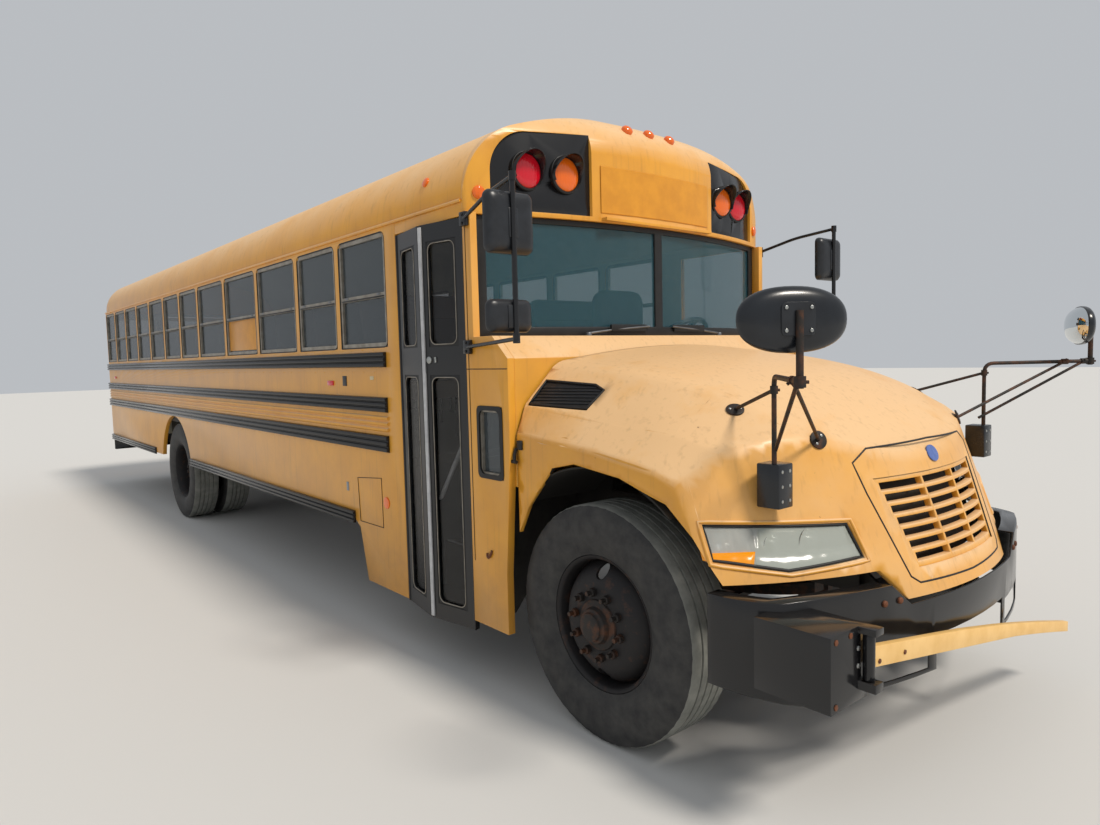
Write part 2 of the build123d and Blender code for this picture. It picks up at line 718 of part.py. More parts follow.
quarter_middle = ((quarter_window[0][0] + quarter_window[0][1]) / 2, (quarter_window[1][0] + quarter_window[1][1]) / 2)
quarter_size = (quarter_window[0][1] - quarter_window[0][0], quarter_window[1][1] - quarter_window[1][0])
for side, word in ((-1, "right"), (1, "left")):
    sash_outer = max(flank(side, body_half_width - sash_set_back - sash_thick, body_half_width - sash_set_back))
    with BuildPart() as window_frames:
        with BuildSketch(side_plane(sash_outer)):
            window_outlines(0)
            with BuildSketch(mode=Mode.PRIVATE) as glazed:
                window_outlines(sash_border)
            add(glazed.sketch, mode=Mode.SUBTRACT)
            with BuildSketch(mode=Mode.PRIVATE) as crossbars:
                bars()
            add(crossbars.sketch)
            with Locations(quarter_middle):
                Rectangle(*quarter_size)
                Rectangle(quarter_size[0] - 2 * sash_border, quarter_size[1] - 2 * sash_border, mode=Mode.SUBTRACT)
        extrude(amount=sash_thick)
    save(window_frames, f"window_frames_{word}")
    glass_outer = max(flank(side, body_half_width - 24, body_half_width - 20))
    with BuildPart() as side_glass:
        with BuildSketch(side_plane(glass_outer)):
            with BuildSketch(mode=Mode.PRIVATE) as glazed:
                window_outlines(sash_border)
            add(glazed.sketch)
            with BuildSketch(mode=Mode.PRIVATE) as crossbars:
                bars()
            add(crossbars.sketch, mode=Mode.SUBTRACT)
            with Locations(quarter_middle):
                Rectangle(quarter_size[0] - 2 * sash_border, quarter_size[1] - 2 * sash_border)
            if side > 0:
                with Locations(((driver_window[0] + driver_window[1]) / 2, (driver_sill + driver_head) / 2)):
                    Rectangle(driver_window[1] - driver_window[0], driver_head - driver_sill)
        extrude(amount=pane_thick)
    save(side_glass, f"side_glass_{word}")

# Passenger seats: rows of benches on both sides of the aisle
seat_rows = 11
seat_pitch = 760
first_seat = window_start - 420
seat_span = (205, inner_half - 6)
for side, word in ((-1, "right"), (1, "left")):
    with BuildPart() as seats:
        outer_edge = max(flank(side, *seat_span))
        for row in range(seat_rows):
            x = first_seat - row * seat_pitch
            with BuildSketch(side_plane(outer_edge)):
                with BuildLine():
                    Polyline((x, floor_top + 330), (x + 430, floor_top + 330), (x + 430, floor_top + 440),
                             (x + 80, floor_top + 450), (x - 20, floor_top + 1000), (x - 90, floor_top + 1000),
                             (x - 10, floor_top + 330), close=True)
                make_face()
            extrude(amount=seat_span[1] - seat_span[0])
            for leg in (x + 20, x + 380):
                slab((leg, leg + 30), flank(side, 260, 290), (floor_top, floor_top + 330))
                slab((leg, leg + 30), flank(side, inner_half - 90, inner_half - 60), (floor_top, floor_top + 330))
    save(seats, f"seats_{word}")

# Driver's seat, and the dashboard with the steering wheel
seat_x = ahead(-1560)
seat_y = 560
with BuildPart() as driver_seat:
    slab((seat_x, seat_x + 480), (seat_y - 240, seat_y + 240), (floor_top + 350, floor_top + 470))
    slab((seat_x - 60, seat_x + 60), (seat_y - 230, seat_y + 230), (floor_top + 420, floor_top + 1040))
    slab((seat_x + 120, seat_x + 360), (seat_y - 120, seat_y + 120), (floor_top, floor_top + 350))
save(driver_seat, "driver_seat")
steering_hub = (ahead(-1010), seat_y, 1760)
column_foot = (ahead(-700), seat_y, 1380)
with BuildPart() as dashboard:
    with BuildSketch(side_plane(1140)):
        with BuildLine():
            Polyline((cowl_back, 1300), (cowl_back, cowl_bend - 15), (ahead(-660), cowl_top - 50),
                     (ahead(-840), cowl_top - 40), (ahead(-900), 1640), (ahead(-720), 1300), close=True)
        make_face()
    extrude(amount=1140 + 300)
    rod(column_foot, steering_hub, 32)
    column_along = Vector(*steering_hub) - Vector(*column_foot)
    with BuildSketch(Plane(origin=steering_hub, z_dir=column_along)):
        Circle(235)
        Circle(208, mode=Mode.SUBTRACT)
        Rectangle(30, 440)
        Rectangle(440, 30)
    extrude(amount=24)
save(dashboard, "dashboard")

# Entrance: two leaves that open outward, at rest a little ajar
leaf_rest = 10
leaf_thick = 30
leaf_face_y = -1212
leaf_foot = door_foot + leaf_gap
leaf_head = door_top - leaf_gap
leaf_width = (door_width - 2 * hinge_inset - leaf_gap) / 2
leaf_stile = 55
leaf_panes = ((1760, 2310), (370, 1610))
leaf_glass = 6
nosing_width = 22
# Word, hinge X, direction of the leaf along X
leaf_table = [("front", door_front - hinge_inset, -1), ("rear", door_rear + hinge_inset, 1)]
for word, hinge_x, way in leaf_table:
    along = Vector(way * cos(radians(leaf_rest)), -sin(radians(leaf_rest)), 0)
    leaf_plane = Plane(origin=(hinge_x, leaf_face_y, 0), x_dir=along, z_dir=along.cross(Vector(0, 0, 1)))
    inward = -way
    pane_middle = leaf_width / 2
    pane_width = leaf_width - 2 * leaf_stile
    with BuildPart() as door_leaf:
        with BuildSketch(leaf_plane):
            with Locations((pane_middle, (leaf_foot + leaf_head) / 2)):
                Rectangle(leaf_width, leaf_head - leaf_foot)
            for foot, head in leaf_panes:
                with Locations((pane_middle, (foot + head) / 2)):
                    Rectangle(pane_width, head - foot, mode=Mode.SUBTRACT)
        extrude(amount=inward * leaf_thick)
        rod((hinge_x, leaf_face_y, leaf_foot), (hinge_x, leaf_face_y, leaf_head), hinge_tube)
        if way < 0:
            with BuildSketch(leaf_plane):
                with Locations((leaf_width - nosing_width / 2, (leaf_foot + leaf_head) / 2)):
                    Rectangle(nosing_width, leaf_head - leaf_foot - 20)
            extrude(amount=-inward * 7)
    save(door_leaf, f"door_leaf_{word}")
    with BuildPart() as door_glass:
        with BuildSketch(leaf_plane.offset(inward * 12)):
            for foot, head in leaf_panes:
                with Locations((pane_middle, (foot + head) / 2)):
                    Rectangle(pane_width, head - foot)
        extrude(amount=inward * leaf_glass)
    save(door_glass, f"door_glass_{word}")


# Front bumper: a bent plate that follows an arc and turns back at its ends, with a notch and two holes
def bumper_region(height, inset):
    """The plan region behind the bumper's face, inset by a thickness."""
    arc_end = 1067
    radius = bumper_arc_radius - inset
    end_angle = asin(arc_end / bumper_arc_radius)
    centre = ahead(bumper_ahead) - bumper_arc_radius
    corner = (centre + radius * cos(end_angle), radius * sin(end_angle))
    middle = (ahead(760) - 0.4 * inset, bumper_half - 25 - 0.92 * inset)
    tail = (ahead(bumper_end_ahead), bumper_half - inset)
    with BuildSketch(Plane.XY.offset(height)) as region:
        with BuildLine():
            ThreePointArc((corner[0], -corner[1]), (ahead(bumper_ahead) - inset, 0), corner)
            ThreePointArc(corner, middle, tail)
            ThreePointArc((corner[0], -corner[1]), (middle[0], -middle[1]), (tail[0], -tail[1]))
            Line(tail, (tail[0], -tail[1]))
        make_face()
    return region.sketch


bumper_foot = 420
bumper_top = 805
bumper_dip = 714
flange_depth = 70
with BuildPart() as front_bumper:
    extrude(bumper_region(bumper_foot, 0), amount=bumper_top - bumper_foot)
    extrude(bumper_region(bumper_foot, bumper_plate), amount=bumper_top - bumper_foot, mode=Mode.SUBTRACT)
    with BuildSketch(cross_plane(ahead(400))):
        with BuildLine():
            Polyline((-1170, 465), (-1000, bumper_foot), (-330, bumper_foot), (-330, 560), (330, 560),
                     (330, bumper_foot), (1000, bumper_foot), (1170, 465), (1170, bumper_top), (600, bumper_top),
                     (490, bumper_dip), (-490, bumper_dip), (-600, bumper_top), (-1170, bumper_top), close=True)
        make_face()
        for side in (-1, 1):
            with Locations((side * 570, 490)):
                Rectangle(380, 104, mode=Mode.SUBTRACT)
    extrude(amount=800, mode=Mode.INTERSECT)
    with BuildPart():
        extrude(bumper_region(bumper_top - bumper_plate, 1), amount=bumper_plate)
        extrude(bumper_region(bumper_top - bumper_plate, flange_depth), amount=bumper_plate, mode=Mode.SUBTRACT)
        slab((ahead(400), ahead(1200)), (-600, 600), (bumper_top - 2 * bumper_plate, bumper_top + 1),
             mode=Mode.SUBTRACT)
    for side in (-1, 1):
        bracket = flank(side, rail_inner + 8, rail_inner + 34)
        bracket_front = ahead(bumper_ahead) - arc_drop(bumper_arc_radius, rail_inner + 34) - 2
        slab((ahead(1000), bracket_front), bracket, (hinge_height - 10, hinge_height + 30))
save(front_bumper, "front_bumper")

# Crossing gate: a steel box on the right end of the bumper and a long drooping arm in front of it
gate_x = ahead(1135)
gate_y = -985
gate_pin = 8
gate_tube = 20
gate_box_front = ahead(1110)
gate_pin_z = (590, 752)
with BuildPart() as crossing_gate_box:
    slab((ahead(820), gate_box_front), (-1180, -960), (520, 775))
    extrude(bumper_region(bumper_foot, 0), amount=bumper_top - bumper_foot, mode=Mode.SUBTRACT)
    for foot, top in ((560, gate_pin_z[0]), (gate_pin_z[1], 775)):
        slab((gate_box_front - 1, ahead(gate_front_ahead)), (gate_y - 26, gate_y + 26), (foot, top))
    rod((gate_x, gate_y, 575), (gate_x, gate_y, 770), gate_pin)
save(crossing_gate_box, "crossing_gate_box")
arm_tip = (975, 285)
arm_root_height = 673
with BuildPart() as crossing_arm:
    rod((gate_x, gate_y, gate_pin_z[0] + 3), (gate_x, gate_y, gate_pin_z[1] - 3), gate_tube)
    with BuildSketch(cross_plane(gate_x - 13)):
        with BuildLine():
            ThreePointArc((gate_y, arm_root_height + 36), ((gate_y + arm_tip[0]) / 2, 532),
                          (arm_tip[0], arm_tip[1] + 25))
            ThreePointArc((gate_y, arm_root_height - 36), ((gate_y + arm_tip[0]) / 2, 472),
                          (arm_tip[0], arm_tip[1] - 25))
            Line((gate_y, arm_root_height + 36), (gate_y, arm_root_height - 36))
            Line((arm_tip[0], arm_tip[1] + 25), (arm_tip[0], arm_tip[1] - 25))
        make_face()
    extrude(amount=26)
    with BuildSketch(Plane.XY.offset(gate_pin_z[0])):
        with Locations((gate_x, gate_y)):
            Circle(gate_pin + pin_gap)
    extrude(amount=gate_pin_z[1] - gate_pin_z[0], mode=Mode.SUBTRACT)
save(crossing_arm, "crossing_arm")

# Stop arm on the left side: a box with a hinge pin, and a blank octagon folded flat
stop_x = ahead(-1130)
stop_axis_y = body_half_width + 64
stop_height = 1520
stop_pin = 6
stop_tube = 10
octagon_width = 450
with BuildPart() as stop_sign_box:
    slab((stop_x - 50, stop_x + 50), (body_half_width, body_half_width + 46), (stop_height - 130, stop_height + 130))
    for foot, top in ((stop_height - 120, stop_height - 100), (stop_height + 100, stop_height + 120)):
        slab((stop_x - 14, stop_x + 14), (body_half_width + 45, stop_axis_y + 12), (foot, top))
    rod((stop_x, stop_axis_y, stop_height - 110), (stop_x, stop_axis_y, stop_height + 110), stop_pin)
save(stop_sign_box, "stop_sign_box")
with BuildPart() as stop_arm:
    rod((stop_x, stop_axis_y, stop_height - 96), (stop_x, stop_axis_y, stop_height + 96), stop_tube)
    for z in (stop_height - 70, stop_height + 70):
        slab((stop_x - 120, stop_x), (stop_axis_y - 3, stop_axis_y + 3), (z - 15, z + 15))
    with BuildSketch(side_plane(stop_axis_y + 2)):
        with Locations((stop_x - 60 - octagon_width / 2, stop_height)):
            RegularPolygon(octagon_width / 2, 8, major_radius=False, rotation=22.5)
    extrude(amount=4)
    with BuildSketch(Plane.XY.offset(stop_height - 100)):
        with Locations((stop_x, stop_axis_y)):
            Circle(stop_pin + pin_gap)
    extrude(amount=200, mode=Mode.SUBTRACT)
save(stop_arm, "stop_arm")

# Door mirrors: two arms from the windshield post to an upright with a large and a small head
mirror_x = ahead(-315)
mirror_y = 1316
mirror_post = 13
mirror_arm = 10
mirror_corner = 28
# Y span, Z span and depth of each head
mirror_heads = [((1183, 1440), (2148, 2423), 56), ((1206, 1450), (1803, 1950), 44)]
for side, word in ((-1, "right"), (1, "left")):
    with BuildPart() as door_mirror:
        rod((mirror_x, side * mirror_y, 1760), (mirror_x, side * mirror_y, 2495), mirror_post)
        for foot_z, post_z in ((2383, 2480), (1751, 1775)):
            arm_start = (ahead(-833), side * (body_half_width + mirror_post + 1), foot_z)
            rod(arm_start, (mirror_x, side * mirror_y, post_z), mirror_arm)
            slab((ahead(-860), ahead(-806)), flank(side, body_half_width, body_half_width + 24),
                 (foot_z - 35, foot_z + 35))
        for (near, far), (foot, top), depth in mirror_heads:
            with BuildSketch(cross_plane(mirror_x - 6 - depth)):
                with Locations((side * (near + far) / 2, (foot + top) / 2)):
                    RectangleRounded(far - near, top - foot, mirror_corner)
            extrude(amount=depth)
    save(door_mirror, f"door_mirror_{word}")

# Wipers: two arms on the cowl, lying under the windshield
with BuildPart() as wipers:
    for side in (-1, 1):
        pivot = (ahead(-666), side * 560, cowl_top + 12)
        rod((pivot[0], pivot[1], cowl_top), (pivot[0], pivot[1], cowl_top + 24), 16)
        rod(pivot, (ahead(-648), side * 90, cowl_top + 60), 7)
save(wipers, "wipers")

# Lamps: front and rear flashers, roof markers and tail lamps
with BuildPart() as lamps:
    for side in (-1, 1):
        for offset in lamp_offsets:
            lamp_back = ahead(cap_ahead) - pocket_depth - arc_drop(front_arc_radius, offset - lamp_radius)
            lamp_face = ahead(cap_ahead) - panel_depth - arc_drop(front_arc_radius, offset)
            rod((lamp_back, side * offset, lamp_height), (lamp_face + 24, side * offset, lamp_height), lamp_radius)
            rod((body_rear - 30, side * offset, lamp_height), (body_rear, side * offset, lamp_height), lamp_radius)
        for radius, z in ((90, 1560), (60, 1010)):
            rod((body_rear - 24, side * 1030, z), (body_rear, side * 1030, z), radius)
    for y in (-178, 0, 178):
        slab((ahead(-760), ahead(-705)), (y - 55, y + 55), (2935, 2990))
        slab((body_rear - 20, body_rear), (y - 55, y + 55), (2800, 2835))
    add(front_cap.part, mode=Mode.SUBTRACT)
save(lamps, "lamps")

# Steering knuckles: a kingpin between two ears, an upright plate with the brake's backing disc, a spindle
ear_radius = 46
ear_thick = 32
knuckle_plate = (950, 975)
backing_radius = 190
backing_thick = 10
spindle_radius = 38
spindle_end = 1070
for side, word in ((-1, "right"), (1, "left")):
    with BuildPart() as knuckle:
        low_ear = axle_height - boss_half_height - 3 - ear_thick
        high_ear = axle_height + boss_half_height + 3
        for foot in (low_ear, high_ear):
            rod((ahead(0), side * kingpin_half, foot), (ahead(0), side * kingpin_half, foot + ear_thick), ear_radius)
            slab((ahead(-ear_radius), ahead(ear_radius)), flank(side, kingpin_half, knuckle_plate[1]),
                 (foot, foot + ear_thick))
        rod((ahead(0), side * kingpin_half, low_ear), (ahead(0), side * kingpin_half, high_ear + ear_thick),
            kingpin_radius)
        slab((ahead(-60), ahead(60)), flank(side, *knuckle_plate), (low_ear, high_ear + ear_thick))
        rod((ahead(0), side * knuckle_plate[0], axle_height),
            (ahead(0), side * (knuckle_plate[0] + backing_thick), axle_height), backing_radius)
        rod((ahead(0), side * knuckle_plate[0], axle_height), (ahead(0), side * spindle_end, axle_height),
            spindle_radius)
    save(knuckle, f"knuckle_{word}")

# Wheels. Each profile is a list of (radius, distance outboard of the wheel's middle).
tyre_profile = [(302 + bead_gap, -110), (495, -tyre_width / 2), (tyre_radius, -120), (tyre_radius, 120),
                (495, tyre_width / 2), (302 + bead_gap, 110)]
inner_tyre_profile = [(302 + bead_gap, -110), (tyre_radius, -128), (tyre_radius, 128), (302 + bead_gap, 110)]
front_rim_profile = [(277, -106), (302, -106), (302, 106), (277, 106), (277, 40), (180, 130), (74, 130), (74, 175),
                     (62, 187), (0, 187), (0, 150), (38.6, 150), (38.6, -50), (80, -50), (80, 118), (176, 118),
                     (277, 20)]
twin_rim_profile = [(277, 274), (302, 274), (302, 62), (277, 62), (277, 110), (180, 0), (277, -110), (277, -62),
                    (302, -62), (302, -274), (277, -274), (277, -125), (182, -14), (112, -14), (112, -60),
                    (75.6, -60), (75.6, 34), (0, 34), (0, 190), (95, 190), (112, 175), (112, 14), (182, 14),
                    (277, 125)]


def turned(x, side, offset, profile):
    """Turns a profile about a wheel's axle line, at a station and a distance from the middle of the bus."""
    with BuildSketch(Plane(origin=(x, side * offset, axle_height), x_dir=(0, 0, 1), z_dir=(-side, 0, 0))) as section:
        with BuildLine():
            Polyline(*profile, close=True)
        make_face()
    revolve(section.sketch, axis=Axis((x, 0, axle_height), (0, 1, 0)))


for side, word in ((-1, "right"), (1, "left")):
    with BuildPart() as front_wheel:
        turned(ahead(0), side, front_track_half, front_rim_profile)
        with BuildSketch(side_plane(max(flank(side, front_track_half + 10, front_track_half + 125)))):
            for up in (-1, 1):
                with Locations((ahead(0), axle_height + up * 228)):
                    Circle(30)
        extrude(amount=115, mode=Mode.SUBTRACT)
        turned(ahead(0), side, front_track_half, tyre_profile)
    save(front_wheel, f"front_wheel_{word}")
    with BuildPart() as rear_wheels:
        turned(rear_axle_x, side, rear_twin_inner + rear_twin_spacing / 2, twin_rim_profile)
        turned(rear_axle_x, side, rear_twin_inner, inner_tyre_profile)
        turned(rear_axle_x, side, rear_twin_inner + rear_twin_spacing, tyre_profile)
    save(rear_wheels, f"rear_wheels_{word}")

# Hood: a skin lofted through cross-sections and cut by a raked, curved nose
# Station ahead of the front axle, crown height, then (Y, Z) of the upper crease, the lower crease and the shoulder
hood_table = [(hood_rear_ahead, 1742, (930, 1665), (1130, 1470), (1185, 1330)),
              (0, 1680, (850, 1610), (1075, 1395), (1187, 1290)),
              (350, 1590, (775, 1525), (1045, 1360), (1183, 1235)),
              (650, 1435, (700, 1398), (990, 1290), (1150, 1130)),
              (850, 1290, (635, 1270), (900, 1130), (1120, 960)),
              (1000, 1150, (560, 1120), (800, 980), (1080, 800)),
              (1180, 980, (470, 940), (700, 800), (1040, 640))]
hood_bottom = 560
hood_corner = 150
crease_radii = (160, 90, 60)


def hood_section(row, inset):
    """One cross-section of the hood, with rounded creases, inset by the skin."""
    station, crown, upper, lower, shoulder = row
    points = [(y - inset, z - inset) for y, z in (upper, lower, shoulder)]
    half = shoulder[0] - inset
    with BuildSketch(cross_plane(ahead(station))) as section:
        with BuildLine():
            ThreePointArc((-points[0][0], points[0][1]), (0, crown - inset), points[0])
            Polyline(*points, (half, hood_bottom), (-half, hood_bottom), *[(-y, z) for y, z in reversed(points)])
        make_face()
        for radius, (y, z) in zip(crease_radii, points):
            corners = section.vertices().filter_by(lambda v: abs(abs(v.X) - y) < 1 and abs(v.Y - z) < 1)
            fillet(corners, radius=radius)
    return section.sketch


def nose_block(inset, rear, foot, head):
    """Everything behind the raked, curved nose, set back by an inset, between two heights."""
    outlines = []
    for height in (foot, head):
        front = ahead(nose_ahead) - nose_rake * (height - nose_height) - inset
        half = body_half_width - 32 - inset
        with BuildSketch(Plane.XY.offset(height)) as outline:
            with BuildLine():
                drop = arc_drop(nose_radius - inset, half)
                ThreePointArc((front - drop, -half), (front, 0), (front - drop, half))
                Polyline((front - drop, half), (rear, half), (rear, -half), (front - drop, -half))
            make_face()
            fillet(outline.vertices().group_by(Axis.X)[-1], radius=hood_corner - inset)
        outlines.append(outline.sketch)
    with BuildPart() as block:
        loft(outlines, ruled=True)
    return block.part


def hood_form(inset):
    """The hood as a solid, inset by a thickness."""
    with BuildPart() as form:
        loft([hood_section(row, inset) for row in hood_table], ruled=True)
    return form.part & nose_block(inset, ahead(-1000), 400, 1900)


hood_outer = hood_form(0)
hood_inner = hood_form(hood_skin)

# The lower edge of the hood's sides: the arch lip and the straight runs before and behind it
arch_lip = [(-557, 643), (-545, 785), (-426, 998), (-249, 1190), (-99, 1222), (177, 1190), (419, 1113), (540, 997),
            (645, 830)]
liner_radius = 682
liner_thick = 8
liner_span = (700, 1172)
grille_outline = [(-446, 1174), (446, 1174), (358, 824), (-358, 824)]
headlight_outline = [(1130, 1050), (625, 1025), (600, 890), (900, 865), (1130, 913)]
vent_outline = [(-490, 1581), (-190, 1560), (-125, 1535), (-150, 1447), (-490, 1462)]
arm_outline = [(0, -14), (-150, -14), (-185, 215), (-5, 225), (-5, 195), (-158, 188), (-128, 14), (0, 14)]
hood_front_foot = 840
hood_nose_foot = 725


def outline_prism(outline, sides):
    """A long prism along the bus through an outline in Y and Z, on each given side."""
    with BuildPart() as prism:
        for side in sides:
            with BuildSketch(cross_plane(ahead(400))):
                with BuildLine():
                    Polyline(*[(side * y, z) for y, z in outline], close=True)
                make_face()
            extrude(amount=900)
    return prism.part


def vent_prism():
    """A prism across the bus through the outline of the side vents."""
    with BuildPart() as prism:
        with BuildSketch(side_plane(1300)):
            with BuildLine():
                Polyline(*[(ahead(x), z) for x, z in vent_outline], close=True)
            make_face()
        extrude(amount=2600)
        slab((ahead(-600), ahead(0)), (-900, 900), (1300, 1700), mode=Mode.SUBTRACT)
    return prism.part


grille_prism = outline_prism(grille_outline, (1,))
headlight_prism = outline_prism(headlight_outline, (-1, 1))
vents_prism = vent_prism()

with BuildPart() as hood_shell:
    add(hood_outer)
    add(hood_inner, mode=Mode.SUBTRACT)
    slab((ahead(hood_rear_ahead), ahead(1300)), (-1300, 1300), (400, hood_nose_foot - 1), mode=Mode.SUBTRACT)
    with BuildSketch(cross_plane(ahead(560))):
        with BuildLine():
            Polyline((-1300, 400), (1300, 400), (1300, hood_front_foot - 10), (560, hood_front_foot),
                     (470, hood_nose_foot), (-470, hood_nose_foot), (-560, hood_front_foot),
                     (-1300, hood_front_foot - 10), close=True)
        make_face()
    extrude(amount=900, mode=Mode.SUBTRACT)
    with BuildSketch(side_plane(1300)):
        with BuildLine():
            Polyline((ahead(-700), 300), *[(ahead(x), z) for x, z in arch_lip], (ahead(645), 300), close=True)
        make_face()
    extrude(amount=2600, mode=Mode.SUBTRACT)
    for side in (-1, 1):
        liner_outer = max(flank(side, *liner_span))
        with BuildSketch(side_plane(liner_outer)):
            with Locations((ahead(0), axle_height)):
                Circle(liner_radius + liner_thick)
                Circle(liner_radius, mode=Mode.SUBTRACT)
            with Locations((ahead(-500), 0)):
                Rectangle(1000, 1780, mode=Mode.SUBTRACT)
            with Locations((ahead(500), 0)):
                Rectangle(1000, 2116, mode=Mode.SUBTRACT)
            with Locations((ahead(-790), 1000)):
                Rectangle(600, 2000, mode=Mode.SUBTRACT)
        extrude(amount=liner_span[1] - liner_span[0])
    add(grille_prism, mode=Mode.SUBTRACT)
    add(headlight_prism, mode=Mode.SUBTRACT)
    add(vents_prism, mode=Mode.SUBTRACT)
    for side in (-1, 1):
        arm = flank(side, hinge_arm_half - hinge_arm_width / 2, hinge_arm_half + hinge_arm_width / 2)
        with BuildSketch(side_plane(arm[1])):
            with BuildLine():
                Polyline(*[(ahead(hinge_ahead) + x, hinge_height + z) for x, z in arm_outline], close=True)
            make_face()
            with Locations((ahead(hinge_ahead), hinge_height)):
                Circle(14)
                Circle(hinge_pin_radius + pin_gap, mode=Mode.SUBTRACT)
        extrude(amount=arm[1] - arm[0])
save(hood_shell, "hood_shell")

# Grille: slats and uprights set into the opening, following the nose
grille_rows = 7
grille_columns = 3
slat_depth = 30
slat_bar = 14
with BuildPart() as grille:
    add(nose_block(6, ahead(-200), 700, 1300))
    add(nose_block(6 + slat_depth, ahead(-300), 690, 1310), mode=Mode.SUBTRACT)
    add(grille_prism, mode=Mode.INTERSECT)
    with BuildSketch(cross_plane(ahead(600))):
        cell = (1174 - 824 - 2 * slat_bar) / grille_rows
        for row in range(grille_rows):
            z = 824 + slat_bar + (row + 0.5) * cell
            half = 358 + (446 - 358) * (z - 824) / (1174 - 824) - slat_bar
            width = 2 * half / grille_columns
            for column in range(grille_columns):
                with Locations(((column - 1) * width, z)):
                    Rectangle(width - slat_bar, cell - slat_bar)
    extrude(amount=700, mode=Mode.SUBTRACT)
save(grille, "grille")

# Headlights: lenses a step behind the skin, filling their openings
with BuildPart() as headlights:
    add(nose_block(10, ahead(-200), 700, 1300))
    add(nose_block(34, ahead(-300), 690, 1310), mode=Mode.SUBTRACT)
    add(headlight_prism, mode=Mode.INTERSECT)
    add(hood_outer, mode=Mode.INTERSECT)
save(headlights, "headlights")

# Side vents: slotted plates a step behind the skin
with BuildPart() as hood_vents:
    add(hood_form(4))
    add(hood_form(16), mode=Mode.SUBTRACT)
    add(vents_prism, mode=Mode.INTERSECT)
save(hood_vents, "hood_vents")

# Crossview mirrors on the hood's fenders: a foot box, a post and its arm, three struts and an oval head on a stem
cross_foot = (735, 925, 1195)
cross_foot_size = (100, 96, 170)
cross_post = (750, 950)
cross_arm_height = 1600
post_radius = 11
arm_radius = 9
strut_radius = 7.5
stem_radius = 12
pad_radius = 38
pad_thick = 12
# Where each strut's pad sits on the hood, and the way it faces
cross_pads = [((465, 800, 1456), (0.38, 0.39, 0.84)), ((742, 641, 1338), (0.88, 0.34, 0.33))]
# How far below the knee, along the arm and up the post the struts are clamped
clamp_drop = 49
clamp_share = (0.76, 0.94)
clamp_rise = 120
for side, word in ((-1, "right"), (1, "left")):
    knee = Vector(ahead(cross_post[0]), side * cross_post[1], cross_arm_height)
    joint = Vector(ahead(cross_head_ahead), side * cross_head_left, cross_arm_height)
    foot = Vector(knee.X, knee.Y, cross_foot[2])
    pads = [Vector(ahead(x), side * y, z) for (x, y, z), facing in cross_pads]
    low_clamp = foot + Vector(0, 0, clamp_rise)
    with BuildPart() as hood_mirror:
        with Locations((ahead(cross_foot[0]), side * cross_foot[1], cross_foot[2])):
            Box(*cross_foot_size)
        rod(tuple(foot), tuple(knee + Vector(0, 0, post_radius)), post_radius)
        rod(tuple(knee), tuple(joint), arm_radius)
        rod(tuple(knee - Vector(0, 0, clamp_drop)), tuple(pads[0]), strut_radius)
        rod(tuple(knee + (joint - knee) * clamp_share[0]), tuple(pads[1]), strut_radius)
        rod(tuple(low_clamp), tuple(knee + (joint - knee) * clamp_share[1]), strut_radius)
        rod((joint.X, joint.Y, joint.Z - post_radius), (joint.X, joint.Y, cross_head_height), stem_radius)
        for pad, (point, facing) in zip(pads, cross_pads):
            normal = Vector(facing[0], side * facing[1], facing[2])
            rod(tuple(pad - normal * pad_radius), tuple(pad + normal * pad_thick), pad_radius)
        turn = radians(cross_head_turn)
        head_plane = Plane(origin=(joint.X, joint.Y, cross_head_height), x_dir=(-side * sin(turn), cos(turn), 0),
                           z_dir=(-cos(turn), -side * sin(turn), 0))
        ovals = []
        for depth, share in cross_head_levels:
            with BuildSketch(head_plane.offset(depth)) as oval:
                Ellipse(cross_head_width / 2 * share, cross_head_tall / 2 * share)
            ovals.append(oval.sketch)
        loft(ovals, ruled=True)
        add(hood_outer, mode=Mode.SUBTRACT)
        add(nose_block(0, ahead(-400), 700, 1400), mode=Mode.SUBTRACT)
    save(hood_mirror, f"hood_mirror_{word}")
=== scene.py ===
"""Dresses a packed school bus: enamel, rubber, glass, lamps, wheels, mirrors and trim on its fixed solids."""

